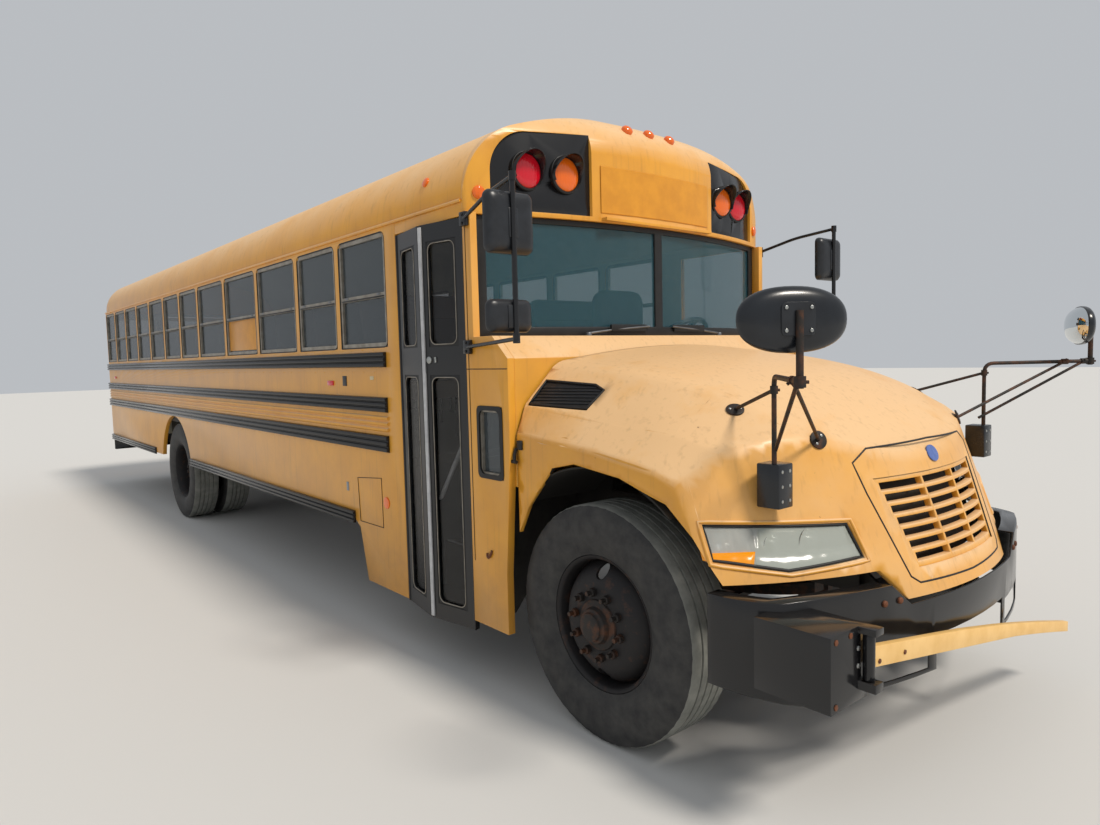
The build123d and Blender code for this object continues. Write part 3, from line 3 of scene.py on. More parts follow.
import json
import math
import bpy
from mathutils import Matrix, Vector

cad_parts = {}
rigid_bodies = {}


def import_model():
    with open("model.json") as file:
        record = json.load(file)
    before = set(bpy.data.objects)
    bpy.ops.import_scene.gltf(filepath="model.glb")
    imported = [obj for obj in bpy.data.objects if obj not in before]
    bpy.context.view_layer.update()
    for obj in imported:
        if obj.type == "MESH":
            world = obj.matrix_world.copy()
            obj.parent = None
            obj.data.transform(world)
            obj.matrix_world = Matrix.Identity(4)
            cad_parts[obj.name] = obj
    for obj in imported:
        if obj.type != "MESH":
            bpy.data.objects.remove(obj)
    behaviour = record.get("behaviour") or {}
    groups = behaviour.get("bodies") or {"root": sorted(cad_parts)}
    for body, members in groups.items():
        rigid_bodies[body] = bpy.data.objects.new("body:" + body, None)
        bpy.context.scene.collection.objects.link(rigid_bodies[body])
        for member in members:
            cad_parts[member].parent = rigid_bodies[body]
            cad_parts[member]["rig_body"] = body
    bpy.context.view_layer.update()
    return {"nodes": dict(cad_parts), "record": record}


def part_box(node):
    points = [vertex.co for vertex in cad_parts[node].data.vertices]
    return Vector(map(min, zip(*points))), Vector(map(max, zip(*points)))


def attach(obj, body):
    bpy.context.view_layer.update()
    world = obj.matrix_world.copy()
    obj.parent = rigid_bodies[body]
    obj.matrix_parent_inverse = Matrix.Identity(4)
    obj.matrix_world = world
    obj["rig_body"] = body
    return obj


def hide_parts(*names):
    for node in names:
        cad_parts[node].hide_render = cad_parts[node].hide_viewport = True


bl_info = {
    "name": "School bus dressing",
    "version": (1, 0, 0),
    "blender": (4, 5, 0),
    "location": "3D View > Sidebar > Bus",
    "description": "Adds the finishes and the fine pieces of a tilting-hood school bus to its fixed solids",
    "category": "Object",
}

import bmesh
import bpy
from bpy.props import FloatProperty, IntProperty, PointerProperty, StringProperty
from mathutils import Matrix, Vector
from mathutils.bvhtree import BVHTree

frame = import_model()
RECORD_SLOTS = {part["node"]: part["material_slot"] for part in frame["record"]["subparts"]}
SIDES = (("right", -1), ("left", 1))
AHEAD, LEFT, UP = (1, 0, 0), (0, 1, 0), (0, 0, 1)


def middle(node):
    """The middle of a solid's box, in metres."""
    low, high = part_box(node)
    return (low + high) / 2


FRONT_AXLE = middle("front_wheel_right").x
REAR_AXLE = middle("rear_wheels_right").x
AXLE_HEIGHT = middle("front_wheel_right").z
TYRE_RADIUS = (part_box("front_wheel_right")[1].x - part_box("front_wheel_right")[0].x) / 2
BODY_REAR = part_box("rear_wall")[0].x
ROOF_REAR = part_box("roof")[0].x
FLOOR_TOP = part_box("floor")[1].z
# Height of the middle of the cabin, in metres: faces that look towards it are inside
CABIN_CORE = 1.8
# Points of a solid's mesh that are closer than this, in metres, are one point
WELD = 0.00005
# Half of the body's width, and how far outside the bus a ray starts, in millimetres
HALF_WIDTH = 1219
OUTSIDE = 1500
# The cap's face, in millimetres: how far ahead of the front axle its middle is, and the radius of its arc
CAP_FRONT = -640
CAP_ARC = 3700


def at(ahead, left, up):
    """A point given by its distance ahead of the front axle, to the left and up, in millimetres."""
    return Vector((FRONT_AXLE + ahead / 1000, left / 1000, up / 1000))


def cap_face(left):
    """How far ahead of the front axle the cap's face is at a distance from the middle, in millimetres."""
    return CAP_FRONT - CAP_ARC + math.sqrt(CAP_ARC**2 - left**2)


def solid_copy(node):
    """A solid's mesh, ready to be worked on."""
    bm = bmesh.new()
    bm.from_mesh(frame["nodes"][node].data)
    return bm


def search_tree(node):
    """A solid's surface, ready to be searched by rays."""
    bm = solid_copy(node)
    tree = BVHTree.FromBMesh(bm)
    bm.free()
    return tree


def touch(tree, start, way):
    """Where a ray first meets a surface, and the surface's normal there."""
    spot, normal, _, _ = tree.ray_cast(start, Vector(way).normalized())
    if spot is None:
        raise RuntimeError("a ray misses the surface that it should meet")
    return spot, normal


def from_ahead(tree, left, up):
    """Where a surface is met from in front of the bus, and its normal there."""
    return touch(tree, at(OUTSIDE, left, up), (-1, 0, 0))


def from_side(tree, ahead, side, up):
    """Where a surface is met from one side of the bus, and its normal there."""
    return touch(tree, at(ahead, side * OUTSIDE, up), (0, -side, 0))


class BusPaintSettings(bpy.types.PropertyGroup):
    """Colours of the painted and moulded surfaces, as sRGB hex."""

    enamel: StringProperty(name="Enamel", description="Body enamel where it is sound", default="#E9A636")
    shade: StringProperty(name="Worn enamel", description="Body enamel where it is thin", default="#DE9C38")
    chalk: StringProperty(name="Chalked enamel", description="Enamel that sun has faded", default="#E9BF8B")
    black: StringProperty(name="Black enamel", description="Rails and bumpers", default="#141518")
    dust: StringProperty(name="Road dust", description="Dust on the lower panels", default="#8A6C48")
    rust: StringProperty(name="Rust", description="Rust at chips", default="#6B3A1E")
    vinyl: StringProperty(name="Seat vinyl", description="Seat covers", default="#3B2A1E")


class BusWheelSettings(bpy.types.PropertyGroup):
    """Sizes of the tyres' tread and of the wheels."""

    groove_width: FloatProperty(name="Groove width", description="Width of a tread groove",
                                default=0.011, unit="LENGTH")
    groove_depth: FloatProperty(name="Groove depth", description="Depth of a tread groove",
                                default=0.009, unit="LENGTH")
    groove_count: IntProperty(name="Grooves", description="Grooves around each tyre", default=4)
    stud_count: IntProperty(name="Studs", description="Wheel studs on each hub", default=10)
    stud_circle: FloatProperty(name="Stud circle", description="Radius of the circle of studs",
                               default=0.1427, unit="LENGTH")
    hand_hole: FloatProperty(name="Hand hole", description="Radius of a hole in the front discs",
                             default=0.03, unit="LENGTH")


class BusTrimSettings(bpy.types.PropertyGroup):
    """Sizes of rivets, seals and gaps."""

    rivet_radius: FloatProperty(name="Rivet radius", description="Radius of a rivet head",
                                default=0.005, unit="LENGTH")
    rivet_pitch: FloatProperty(name="Rivet pitch", description="Distance between rivets",
                               default=0.15, unit="LENGTH")
    seal_radius: FloatProperty(name="Seal radius", description="Radius of the windows' and the nose's seals",
                               default=0.0045, unit="LENGTH")
    gap_radius: FloatProperty(name="Gap radius", description="Half the width of a gap line",
                              default=0.0028, unit="LENGTH")


class BusStageSettings(bpy.types.PropertyGroup):
    """The floor, the lights and the camera."""

    floor: StringProperty(name="Floor", description="Floor colour, as sRGB hex", default="#D3D2CF")
    backdrop: StringProperty(name="Backdrop", description="Backdrop colour, as sRGB hex", default="#E6EAEF")
    key: FloatProperty(name="Key light", description="Strength of the sun lamp", default=2.45)
    fill: FloatProperty(name="Fill light", description="Strength of the world", default=0.62)
    focal: FloatProperty(name="Focal length", description="Focal length", default=24.778, unit="CAMERA")


def linear(hex_colour):
    """An sRGB hex colour as linear RGBA."""
    value = int(hex_colour.lstrip("#"), 16)
    channels = [(value >> shift & 255) / 255 for shift in (16, 8, 0)]
    return tuple(c / 12.92 if c <= 0.04045 else ((c + 0.055) / 1.055) ** 2.4 for c in channels) + (1.0,)


def add(tree, kind, inputs=None, **settings):
    """Adds a node with its settings, and sets or links its inputs."""
    made = tree.nodes.new(kind)
    for key, value in settings.items():
        setattr(made, key, value)
    for key, value in (inputs or {}).items():
        if isinstance(value, bpy.types.NodeSocket):
            tree.links.new(value, made.inputs[key])
        else:
            made.inputs[key].default_value = value
    return made


# Divides a wave texture's scale, so that a lens's ribs come out about twice as wide as asked and show
RIB_STRETCH = 6.3


def per_metre(millimetres):
    """A texture scale that gives features of a real size."""
    return 1000 / millimetres


def start(name):
    """An empty material with its node tree and its shading coordinates."""
    made = bpy.data.materials.new(name)
    made.use_nodes = True
    tree = made.node_tree
    tree.nodes.clear()
    return made, tree, add(tree, "ShaderNodeTexCoord").outputs["Object"]


def end(made, sockets):
    """Ends a material with a surface that has the given sockets."""
    tree = made.node_tree
    shader = add(tree, "ShaderNodeBsdfPrincipled", sockets)
    add(tree, "ShaderNodeOutputMaterial", {"Surface": shader.outputs[0]})
    return made


def mottled(tree, place, first, second, size, low=0.35, high=0.65, detail=4.0):
    """Two colours mixed by soft cloudy patches of a real size in millimetres."""
    noise = add(tree, "ShaderNodeTexNoise",
                {"Vector": place, "Scale": per_metre(size), "Detail": detail, "Roughness": 0.6})
    share = add(tree, "ShaderNodeMapRange",
                {"Value": noise.outputs["Fac"], "From Min": low, "From Max": high})
    return add(tree, "ShaderNodeMix", {0: share.outputs[0], 6: first, 7: second}, data_type="RGBA").outputs[2]


def grain(tree, place, size, strength, distance=0.001):
    """A fine surface bump whose grain has a real size in millimetres."""
    noise = add(tree, "ShaderNodeTexNoise", {"Vector": place, "Scale": per_metre(size), "Detail": 3.0})
    sockets = {"Height": noise.outputs["Fac"], "Strength": strength, "Distance": distance}
    return add(tree, "ShaderNodeBump", sockets).outputs[0]


def faded_enamel(name, paint):
    """Alkyd bus enamel, sprayed on steel: glossy where it faces sideways, chalky and pale towards the sky."""
    made, tree, place = start(name)
    normal = add(tree, "ShaderNodeNewGeometry").outputs["Normal"]
    upward = add(tree, "ShaderNodeSeparateXYZ", {0: normal}).outputs["Z"]
    height = add(tree, "ShaderNodeSeparateXYZ", {0: place}).outputs["Z"]
    patch = add(tree, "ShaderNodeTexNoise",
                {"Vector": place, "Scale": per_metre(420), "Detail": 6.0, "Roughness": 0.62}).outputs["Fac"]
    sky = add(tree, "ShaderNodeMapRange", {"Value": upward, "From Min": 0.02, "From Max": 0.8})
    faded = add(tree, "ShaderNodeMath", {0: sky.outputs[0], 1: patch}, operation="MULTIPLY")
    faded = add(tree, "ShaderNodeMapRange",
                {"Value": faded.outputs[0], "From Min": 0.05, "From Max": 0.45}).outputs[0]
    # Road dust gathers over the lowest half metre of the skirts
    low = add(tree, "ShaderNodeMapRange", {"Value": height, "From Min": 1.15, "From Max": 0.45})
    dusty = add(tree, "ShaderNodeMath", {0: low.outputs[0], 1: patch}, operation="MULTIPLY")
    dusty = add(tree, "ShaderNodeMapRange",
                {"Value": dusty.outputs[0], "From Min": 0.22, "From Max": 0.8, "To Max": 0.6}).outputs[0]
    # Rain draws dirt down the panels in narrow streaks
    drawn = add(tree, "ShaderNodeMapping", {"Vector": place, "Scale": (1.0, 1.0, 0.045)}).outputs[0]
    streak = add(tree, "ShaderNodeTexNoise", {"Vector": drawn, "Scale": per_metre(26), "Detail": 4.0})
    streak = add(tree, "ShaderNodeMapRange", {
        "Value": streak.outputs["Fac"], "From Min": 0.56, "From Max": 0.78, "To Max": 0.22}).outputs[0]
    # Chips rust through in small spots
    chip = add(tree, "ShaderNodeTexNoise",
               {"Vector": place, "Scale": per_metre(45), "Detail": 5.0, "Roughness": 0.7})
    chip = add(tree, "ShaderNodeMapRange", {
        "Value": chip.outputs["Fac"], "From Min": 0.715, "From Max": 0.74, "To Max": 0.8}).outputs[0]
    colour = mottled(tree, place, linear(paint.enamel), linear(paint.shade), 260)
    for share, layer in ((faded, paint.chalk), (dusty, paint.dust), (streak, "#7A5A34"), (chip, paint.rust)):
        mixed = add(tree, "ShaderNodeMix", {0: share, 6: colour, 7: linear(layer)}, data_type="RGBA")
        colour = mixed.outputs[2]
    rough = add(tree, "ShaderNodeMapRange", {"Value": faded, "To Min": 0.3, "To Max": 0.6}).outputs[0]
    return end(made, {"Base Color": colour, "Roughness": rough, "IOR": 1.5, "Coat Weight": 0.15,
                      "Coat Roughness": 0.2, "Normal": grain(tree, place, 9, 0.05)})


def worn_black(name, colour, roughness, dust_share):
    """Black enamel on steel, with road dust settled where it faces up."""
    made, tree, place = start(name)
    normal = add(tree, "ShaderNodeNewGeometry").outputs["Normal"]
    upward = add(tree, "ShaderNodeSeparateXYZ", {0: normal}).outputs["Z"]
    patch = add(tree, "ShaderNodeTexNoise", {"Vector": place, "Scale": per_metre(160), "Detail": 6.0})
    settled = add(tree, "ShaderNodeMapRange", {"Value": upward, "From Min": -0.3, "From Max": 1.0})
    share = add(tree, "ShaderNodeMath",
                {0: settled.outputs[0], 1: patch.outputs["Fac"]}, operation="MULTIPLY")
    share = add(tree, "ShaderNodeMath", {0: share.outputs[0], 1: dust_share}, operation="MULTIPLY")
    tint = add(tree, "ShaderNodeMix",
               {0: share.outputs[0], 6: linear(colour), 7: linear("#8C8172")}, data_type="RGBA").outputs[2]
    return end(made, {"Base Color": tint, "Roughness": roughness, "IOR": 1.5,
                      "Normal": grain(tree, place, 6, 0.08)})


def rusted_iron(name, iron, rust, share, metallic=0.35):
    """Cast or rolled iron with patches of rust; a larger share gives more rust."""
    made, tree, place = start(name)
    colour = mottled(tree, place, linear(iron), linear(rust), 55, 0.66 - share * 0.4, 0.8 - share * 0.3, 8.0)
    return end(made, {"Base Color": colour, "Metallic": metallic, "Roughness": 0.6,
                      "Normal": grain(tree, place, 7, 0.3)})


def road_rubber(name, clean, dusty, roughness):
    """Carbon-black rubber, vulcanised in a mould: dull, with road dust rubbed into it in fine patches."""
    made, tree, place = start(name)
    colour = mottled(tree, place, linear(clean), linear(dusty), 70, 0.3, 0.9, 8.0)
    return end(made, {"Base Color": colour, "Roughness": roughness, "Specular IOR Level": 0.35,
                      "Normal": grain(tree, place, 4, 0.2)})


def sheet_glass(name, body, cover):
    """Tinted float glass: it mirrors the surroundings and shows the cabin; a larger cover is darker."""
    made, tree, place = start(name)
    return end(made, {"Base Color": linear(body), "Roughness": 0.04, "IOR": 1.52, "Alpha": cover,
                      "Specular IOR Level": 0.8, "Normal": grain(tree, place, 900, 0.02, 0.004)})


def moulded_lens(name, colour, rib, glow=0.0, cover=1.0):
    """Injection-moulded acrylic lens with fine upright optic ribs on its inner face."""
    made, tree, place = start(name)
    bands = add(tree, "ShaderNodeTexWave", {"Vector": place, "Scale": per_metre(rib) / RIB_STRETCH},
                wave_type="BANDS", bands_direction="Y")
    bump = add(tree, "ShaderNodeBump", {"Height": bands.outputs["Fac"], "Strength": 0.35, "Distance": 0.002})
    return end(made, {"Base Color": linear(colour), "Roughness": 0.14, "IOR": 1.49, "Coat Weight": 0.5,
                      "Coat Roughness": 0.05, "Alpha": cover, "Emission Color": linear(colour),
                      "Emission Strength": glow, "Normal": bump.outputs[0]})


def two_tone(name, first, second, patch, roughness, metallic=0.0, bump=0.1, bump_size=4):
    """A finish of two close tones in patches, with a fine grain, both of a real size in millimetres."""
    made, tree, place = start(name)
    colour = mottled(tree, place, linear(first), linear(second), patch)
    return end(made, {"Base Color": colour, "Roughness": roughness, "Metallic": metallic,
                      "Normal": grain(tree, place, bump_size, bump)})


MATERIALS = {}


def make_materials(paint):
    """Every finish on the bus, each named for the real one, under a comment on what it gives the eye."""
    MATERIALS.update({
        # Paint and film: golden and even on the flanks, paler where the sun has reached it
        "yellow_enamel": faded_enamel("Faded_yellow_bus_enamel", paint),
        "sign_film": two_tone("Reflective_yellow_sign_film", "#E09A2C", "#D48F28", 90, 0.32, bump=0.04),
        "arm_paint": two_tone("Sun_faded_yellow_arm_paint", "#F2C67C", "#E6B768", 110, 0.45),
        "sign_red": two_tone("Red_reflective_sign_film", "#B01220", "#9C1020", 90, 0.3, bump=0.03),
        "inner_paint": two_tone("Cream_interior_enamel", "#C9C4AE", "#BDB8A2", 200, 0.45),
        # Blacks: a soft sheen on enamel and anodised sections, brown-grey dust on whatever faces up
        "black_enamel": worn_black("Black_chassis_enamel", paint.black, 0.18, 0.07),
        "underseal": worn_black("Sprayed_black_underseal", "#16130F", 0.85, 0.3),
        "frame_black": worn_black("Dusty_black_frame_paint", "#1B1A19", 0.7, 0.8),
        "door_black": worn_black("Black_anodised_door_section", "#121418", 0.32, 0.12),
        # Iron and steel under the floor and in the wheels: dark grey that has gone brown in patches
        "iron": rusted_iron("Rusted_cast_iron", "#2B2724", "#5A3824", 0.5),
        "hub_iron": rusted_iron("Greasy_cast_iron_hub", "#26211E", "#54331F", 0.5, 0.2),
        "rusty_steel": rusted_iron("Rusted_rolled_steel", "#4A3226", "#6E3F24", 0.9, 0.15),
        "rim_steel": rusted_iron("Black_painted_wheel_steel", "#242223", "#4A3328", 0.25),
        # Bare metals: a bluish shine on zinc, a satin one on mill aluminium, a dull warm one on old sashes
        "bright_steel": two_tone("Zinc_plated_steel", "#B9BBB8", "#9C9E9C", 20, 0.35, 0.9, 0.1, 2),
        "aluminium": two_tone("Brushed_mill_aluminium", "#8E9093", "#77797C", 70, 0.42, 1.0, 0.12, 2),
        "radiator_core": two_tone("Dusty_radiator_core", "#2A2723", "#1D1B19", 40, 0.7, 0.3),
        "sash": two_tone("Weathered_anodised_sash", "#A39C90", "#857D71", 60, 0.45, 0.35, 0.12, 2),
        "reflector": two_tone("Vacuum_metallised_reflector", "#E4E6E4", "#D2D5D3", 80, 0.2, 1.0, 0.02),
        "mirror": two_tone("Silvered_mirror_glass", "#D5DADC", "#CFD4D6", 300, 0.02, 1.0, 0.0),
        # Glass: grey in the sides, near black in the entrance, green-blue in the windshield
        "window_glass": sheet_glass("Tinted_toughened_side_glass", "#4C565C", 0.5),
        "door_glass": sheet_glass("Tinted_toughened_door_glass", "#0E1114", 0.32),
        "screen_glass": sheet_glass("Laminated_windshield_glass", "#3C6A78", 0.3),
        # Lenses: deep colour with a faint glow in the flashers, and haze over the old headlamps
        "red_lens": moulded_lens("Red_acrylic_lens", "#C4061F", 9, 0.12),
        "amber_lens": moulded_lens("Amber_acrylic_lens", "#E0650A", 9, 0.12),
        "ribbed_lens": moulded_lens("Ribbed_clear_polycarbonate_lens", "#D5D8D2", 12, 0.0, 0.5),
        "hazed_lens": moulded_lens("Hazed_clear_polycarbonate_lens", "#C2C8BF", 30, 0.0, 0.62),
        "turn_lens": moulded_lens("Amber_turn_signal_lens", "#F59A08", 24, 0.1, 0.9),
        # Rubber: dark sidewalls, a tread worn grey with dust, black seals and a scuffed brown-black floor
        "rubber": road_rubber("Carbon_black_sidewall_rubber", "#262628", "#4A4946", 0.62),
        "tread_rubber": road_rubber("Dusty_tread_rubber", "#6F706B", "#9A9A92", 0.9),
        "seal_rubber": two_tone("Extruded_black_seal_rubber", "#101011", "#1A1A1B", 50, 0.55),
        "floor_rubber": two_tone("Ribbed_rubber_floor", "#242322", "#3A3733", 140, 0.75, bump=0.2),
        # Plastics and vinyl: a satin black with a leathery mould grain, gloss shells, creased brown seats
        "black_plastic": two_tone("Moulded_black_ABS", "#1A1C20", "#23262B", 60, 0.34, 0.0, 0.15, 3),
        "gloss_black": two_tone("Gloss_black_mirror_shell", "#14171C", "#1B1F25", 90, 0.24, bump=0.02),
        "white_paint": two_tone("Pale_grey_vinyl_nosing", "#C9CACB", "#B3B4B6", 60, 0.4),
        "vinyl": two_tone("Calendered_seat_vinyl", paint.vinyl, "#4A3526", 120, 0.55, bump=0.25, bump_size=6),
        # Small plates and tape: blank, each a flat colour with a slight unevenness
        "badge_blue": two_tone("Blue_vitreous_badge_enamel", "#5C74B4", "#4C64A6", 20, 0.2, bump=0.0),
        "plate_black": two_tone("Blank_black_plate", "#101114", "#1A1B1F", 30, 0.4),
        "plate_pale": two_tone("Blank_pale_plate", "#D9C9A0", "#CDBB8E", 30, 0.5),
        "plate_grey": two_tone("Grey_reflective_tape", "#8D96A0", "#7B848E", 12, 0.3),
    })


NODE_FINISH = {
    "yellow_enamel": ["side_wall_right", "side_wall_left", "door_header", "roof", "front_cap", "cowl",
                      "cowl_sides", "rear_wall", "hood_shell", "grille", "rear_door"],
    "arm_paint": ["crossing_arm"],
    "black_enamel": ["flasher_panels", "rub_rails", "front_bumper", "rear_bumper", "crossing_gate_box",
                     "stop_sign_box"],
    "door_black": ["door_leaf_front", "door_leaf_rear"],
    "sash": ["window_frames_right", "window_frames_left"],
    "frame_black": ["frame_rails", "fuel_tank"],
    "iron": ["engine_block", "front_axle", "rear_axle", "knuckle_right", "knuckle_left"],
    "rusty_steel": ["drive_shaft_and_exhaust"],
    "radiator_core": ["radiator"],
    "window_glass": ["side_glass_right", "side_glass_left", "rear_glass", "rear_door_glass"],
    "door_glass": ["door_glass_front", "door_glass_rear"],
    "screen_glass": ["windshield_glass"],
    "seal_rubber": ["hood_vents", "windshield_frame"],
    "black_plastic": ["door_mirror_right", "door_mirror_left", "hood_mirror_right", "hood_mirror_left",
                      "dashboard", "wipers"],
    "vinyl": ["seats_right", "seats_left", "driver_seat"],
    "floor_rubber": ["floor", "driver_floor", "stepwell"],
    "hazed_lens": ["headlights"],
    "amber_lens": ["lamps"],
    "sign_red": ["stop_arm"],
    "rubber": ["front_wheel_right", "front_wheel_left", "rear_wheels_right", "rear_wheels_left"],
}
FINISH_OF = {node: finish for finish, nodes in NODE_FINISH.items() for node in nodes}
# How far the sharp edges of the painted shell and its fittings are rounded, in metres
EDGE_ROUNDING = {
    "side_wall_right": 0.004, "side_wall_left": 0.004, "roof": 0.004, "rear_wall": 0.005,
    "door_header": 0.003, "front_cap": 0.006, "cowl": 0.006, "cowl_sides": 0.005, "rear_door": 0.005,
    "flasher_panels": 0.0025, "rub_rails": 0.0025, "front_bumper": 0.003, "rear_bumper": 0.005,
    "windshield_frame": 0.004, "grille": 0.003, "crossing_gate_box": 0.003, "crossing_arm": 0.004,
}
CABIN_WALLS = ("side_wall_right", "side_wall_left", "roof", "rear_wall")


def mesh_of(name, bm, smooth_angle=None, *finishes):
    """Turns mesh data into a mesh with its finishes, flat or smooth up to an angle."""
    bmesh.ops.recalc_face_normals(bm, faces=bm.faces)
    mesh = bpy.data.meshes.new(name)
    bm.to_mesh(mesh)
    bm.free()
    if smooth_angle:
        mesh.shade_smooth()
        mesh.set_sharp_from_angle(angle=math.radians(smooth_angle))
    for finish in finishes:
        mesh.materials.append(MATERIALS[finish])
    return mesh


def place_mesh(name, mesh, body, slot, *stands_for, place=(0, 0, 0)):
    """Links a mesh as a piece that rides on a body and stands for the named solids."""
    piece = bpy.data.objects.new(name, mesh)
    piece.location = place
    bpy.context.scene.collection.objects.link(piece)
    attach(piece, body)
    if stands_for:
        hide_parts(*stands_for)
    return piece


def finish_mesh(name, bm, body, finish, smooth_angle, slot, *stands_for):
    """Turns mesh data into a piece with a finish, riding on a body."""
    return place_mesh(name, mesh_of(name, bm, smooth_angle, finish), body, slot, *stands_for)


def repaint(mesh, finish, chosen):
    """Gives the faces that a test picks another finish."""
    mesh.materials.append(MATERIALS[finish])
    for face in mesh.polygons:
        if chosen(face):
            face.material_index = len(mesh.materials) - 1


def add_box(bm, low, high, bevel):
    """A box between two corners, its edges rounded."""
    low, high = Vector(low), Vector(high)
    size = [abs(b - a) for a, b in zip(low, high)]
    place = Matrix.Translation((low + high) / 2) @ Matrix.Diagonal((*size, 1))
    made = bmesh.ops.create_cube(bm, size=1.0, matrix=place)
    edges = list({edge for vert in made["verts"] for edge in vert.link_edges})
    bmesh.ops.bevel(bm, geom=edges, offset=bevel, segments=2, affect="EDGES", profile=0.5)


def add_rings(bm, rings, closed=False):
    """Faces between rings of points, closed to a loop or capped at both ends."""
    count = len(rings[0])
    for first, second in zip(rings, rings[1:] + rings[:1] if closed else rings[1:]):
        for index in range(count):
            after = (index + 1) % count
            bm.faces.new((first[index], first[after], second[after], second[index]))
    if not closed:
        bm.faces.new(list(reversed(rings[0])))
        bm.faces.new(rings[-1])


def add_prism(bm, outline, depth):
    """A prism: an outline of points pushed along a vector."""
    near = [bm.verts.new(point) for point in outline]
    far = [bm.verts.new(point + Vector(depth)) for point in outline]
    add_rings(bm, [near, far])


def add_tube(bm, points, radius, sides=12, around=None):
    """A round bar with flat ends, or a closed loop when the direction that it turns about is given."""
    points = [Vector(point) for point in points]
    count = len(points)
    reference = Vector(around) if around else (points[1] - points[0]).normalized().orthogonal()
    rings = []
    for index, point in enumerate(points):
        before = points[index - 1] if around else points[max(index - 1, 0)]
        after = points[(index + 1) % count] if around else points[min(index + 1, count - 1)]
        along = (after - before).normalized()
        across = (reference - along * reference.dot(along)).normalized()
        up = along.cross(across)
        if not around:
            reference = across
        rings.append([bm.verts.new(point + radius * (across * math.cos(a) + up * math.sin(a)))
                      for a in (2 * math.pi * step / sides for step in range(sides))])
    add_rings(bm, rings, closed=bool(around))


def add_lathe(bm, profile, centre, axis, segments=64, closed=True):
    """A turned form: (radius, distance along the axis) points swept about an axis."""
    axis = Vector(axis).normalized()
    across = axis.orthogonal().normalized()
    up = axis.cross(across)
    rings = []
    for step in range(segments):
        angle = 2 * math.pi * step / segments
        spoke = across * math.cos(angle) + up * math.sin(angle)
        rings.append([bm.verts.new(Vector(centre) + spoke * radius + axis * along)
                      for radius, along in profile])
    count = len(profile)
    for first, second in zip(rings, rings[1:] + rings[:1]):
        for index in range(count if closed else count - 1):
            after = (index + 1) % count
            if profile[index][0] or profile[after][0]:
                bm.faces.new((first[index], first[after], second[after], second[index]))
    poles = [vert for ring in rings for vert, (radius, _) in zip(ring, profile) if not radius]
    bmesh.ops.remove_doubles(bm, verts=poles, dist=1e-6)


def add_disc(bm, centre, axis, radius, depth, segments=24, dome=0.0):
    """A short round piece with a domed front."""
    profile = [(0, 0), (radius, 0), (radius, depth)]
    for step in range(1, 4):
        angle = math.pi / 8 * step
        profile.append((radius * math.cos(angle), depth + dome * math.sin(angle)))
    add_lathe(bm, profile + [(0, depth + dome)], centre, axis, segments, closed=False)


def rounded_outline(width, height, corner, steps=8):
    """A rounded rectangle as (across, up) points about its middle."""
    points = []
    for sign_a, sign_u, first in ((1, 1, 0), (-1, 1, 90), (-1, -1, 180), (1, -1, 270)):
        for step in range(steps + 1):
            angle = math.radians(first + 90 * step / steps)
            points.append((sign_a * (width / 2 - corner) + corner * math.cos(angle),
                           sign_u * (height / 2 - corner) + corner * math.sin(angle)))
    return points


def egg_outline(width, height, power, steps=56):
    """A full-sided oval as (across, up) points; a larger power gives a squarer one."""
    points = []
    for step in range(steps):
        angle = 2 * math.pi * step / steps
        across, up = math.cos(angle), math.sin(angle)
        points.append((width / 2 * math.copysign(abs(across) ** (2 / power), across),
                       height / 2 * math.copysign(abs(up) ** (2 / power), up)))
    return points


def add_levels(bm, centre, across, up, outline, levels, insets=True):
    """A closed form through copies of an outline, each at a distance along the normal and inset or scaled."""
    centre, across, up = Vector(centre), Vector(across).normalized(), Vector(up).normalized()
    normal = across.cross(up)
    rings = []
    for along, size in levels:
        ratios = [max(math.hypot(a, u) - size, 0) / math.hypot(a, u) if insets else size for a, u in outline]
        rings.append([bm.verts.new(centre + across * a * ratio + up * u * ratio + normal * along)
                      for (a, u), ratio in zip(outline, ratios)])
    add_rings(bm, rings)


def add_border(bm, centre, across, size, border, corner, depth, outer_corner):
    """An upright flat frame around an opening, standing proud of it by a depth."""
    centre, across, up = Vector(centre), Vector(across).normalized(), Vector(UP)
    normal = across.cross(up)
    width, height = size
    outer = rounded_outline(width, height, outer_corner, 6)
    inner = rounded_outline(width - 2 * border, height - 2 * border, corner, 6)
    rings = [[bm.verts.new(centre + across * a + up * u + normal * along) for a, u in outline]
             for outline, along in ((outer, 0.0), (outer, depth * 0.7), (inner, depth), (inner, 0.0))]
    add_rings(bm, rings, closed=True)


def bend(points, radius, steps=6):
    """Rounds the corners of a line of points with short arcs."""
    points = [Vector(point) for point in points]
    made = [points[0]]
    for before, corner, after in zip(points, points[1:], points[2:]):
        reach = min(radius, (before - corner).length * 0.45, (after - corner).length * 0.45)
        first = corner + (before - corner).normalized() * reach
        last = corner + (after - corner).normalized() * reach
        for step in range(steps + 1):
            share = step / steps
            made.append(first * (1 - share) ** 2 + corner * 2 * share * (1 - share) + last * share**2)
    return made + [points[-1]]


def walk(corners, spacing):
    """Points along a closed outline, about as far apart as the spacing between each two corners."""
    for (a0, b0), (a1, b1) in zip(corners, corners[1:] + corners[:1]):
        count = max(int(math.hypot(a1 - a0, b1 - b0) / spacing), 1)
        for step in range(count):
            yield a0 + (a1 - a0) * step / count, b0 + (b1 - b0) * step / count


def add_clamp(bm, spot, way, radius, length):
    """A split clamp around a tube: a band with a lug."""
    way = Vector(way).normalized()
    add_band(bm, spot, way, radius * 0.9, radius * 1.45, length / 2, 20)
    lug = way.orthogonal().normalized()
    foot = Vector(spot) - way * 0.001
    add_tube(bm, [foot + lug * radius * 1.2, foot + lug * radius * 2.1], 0.0055, 8)


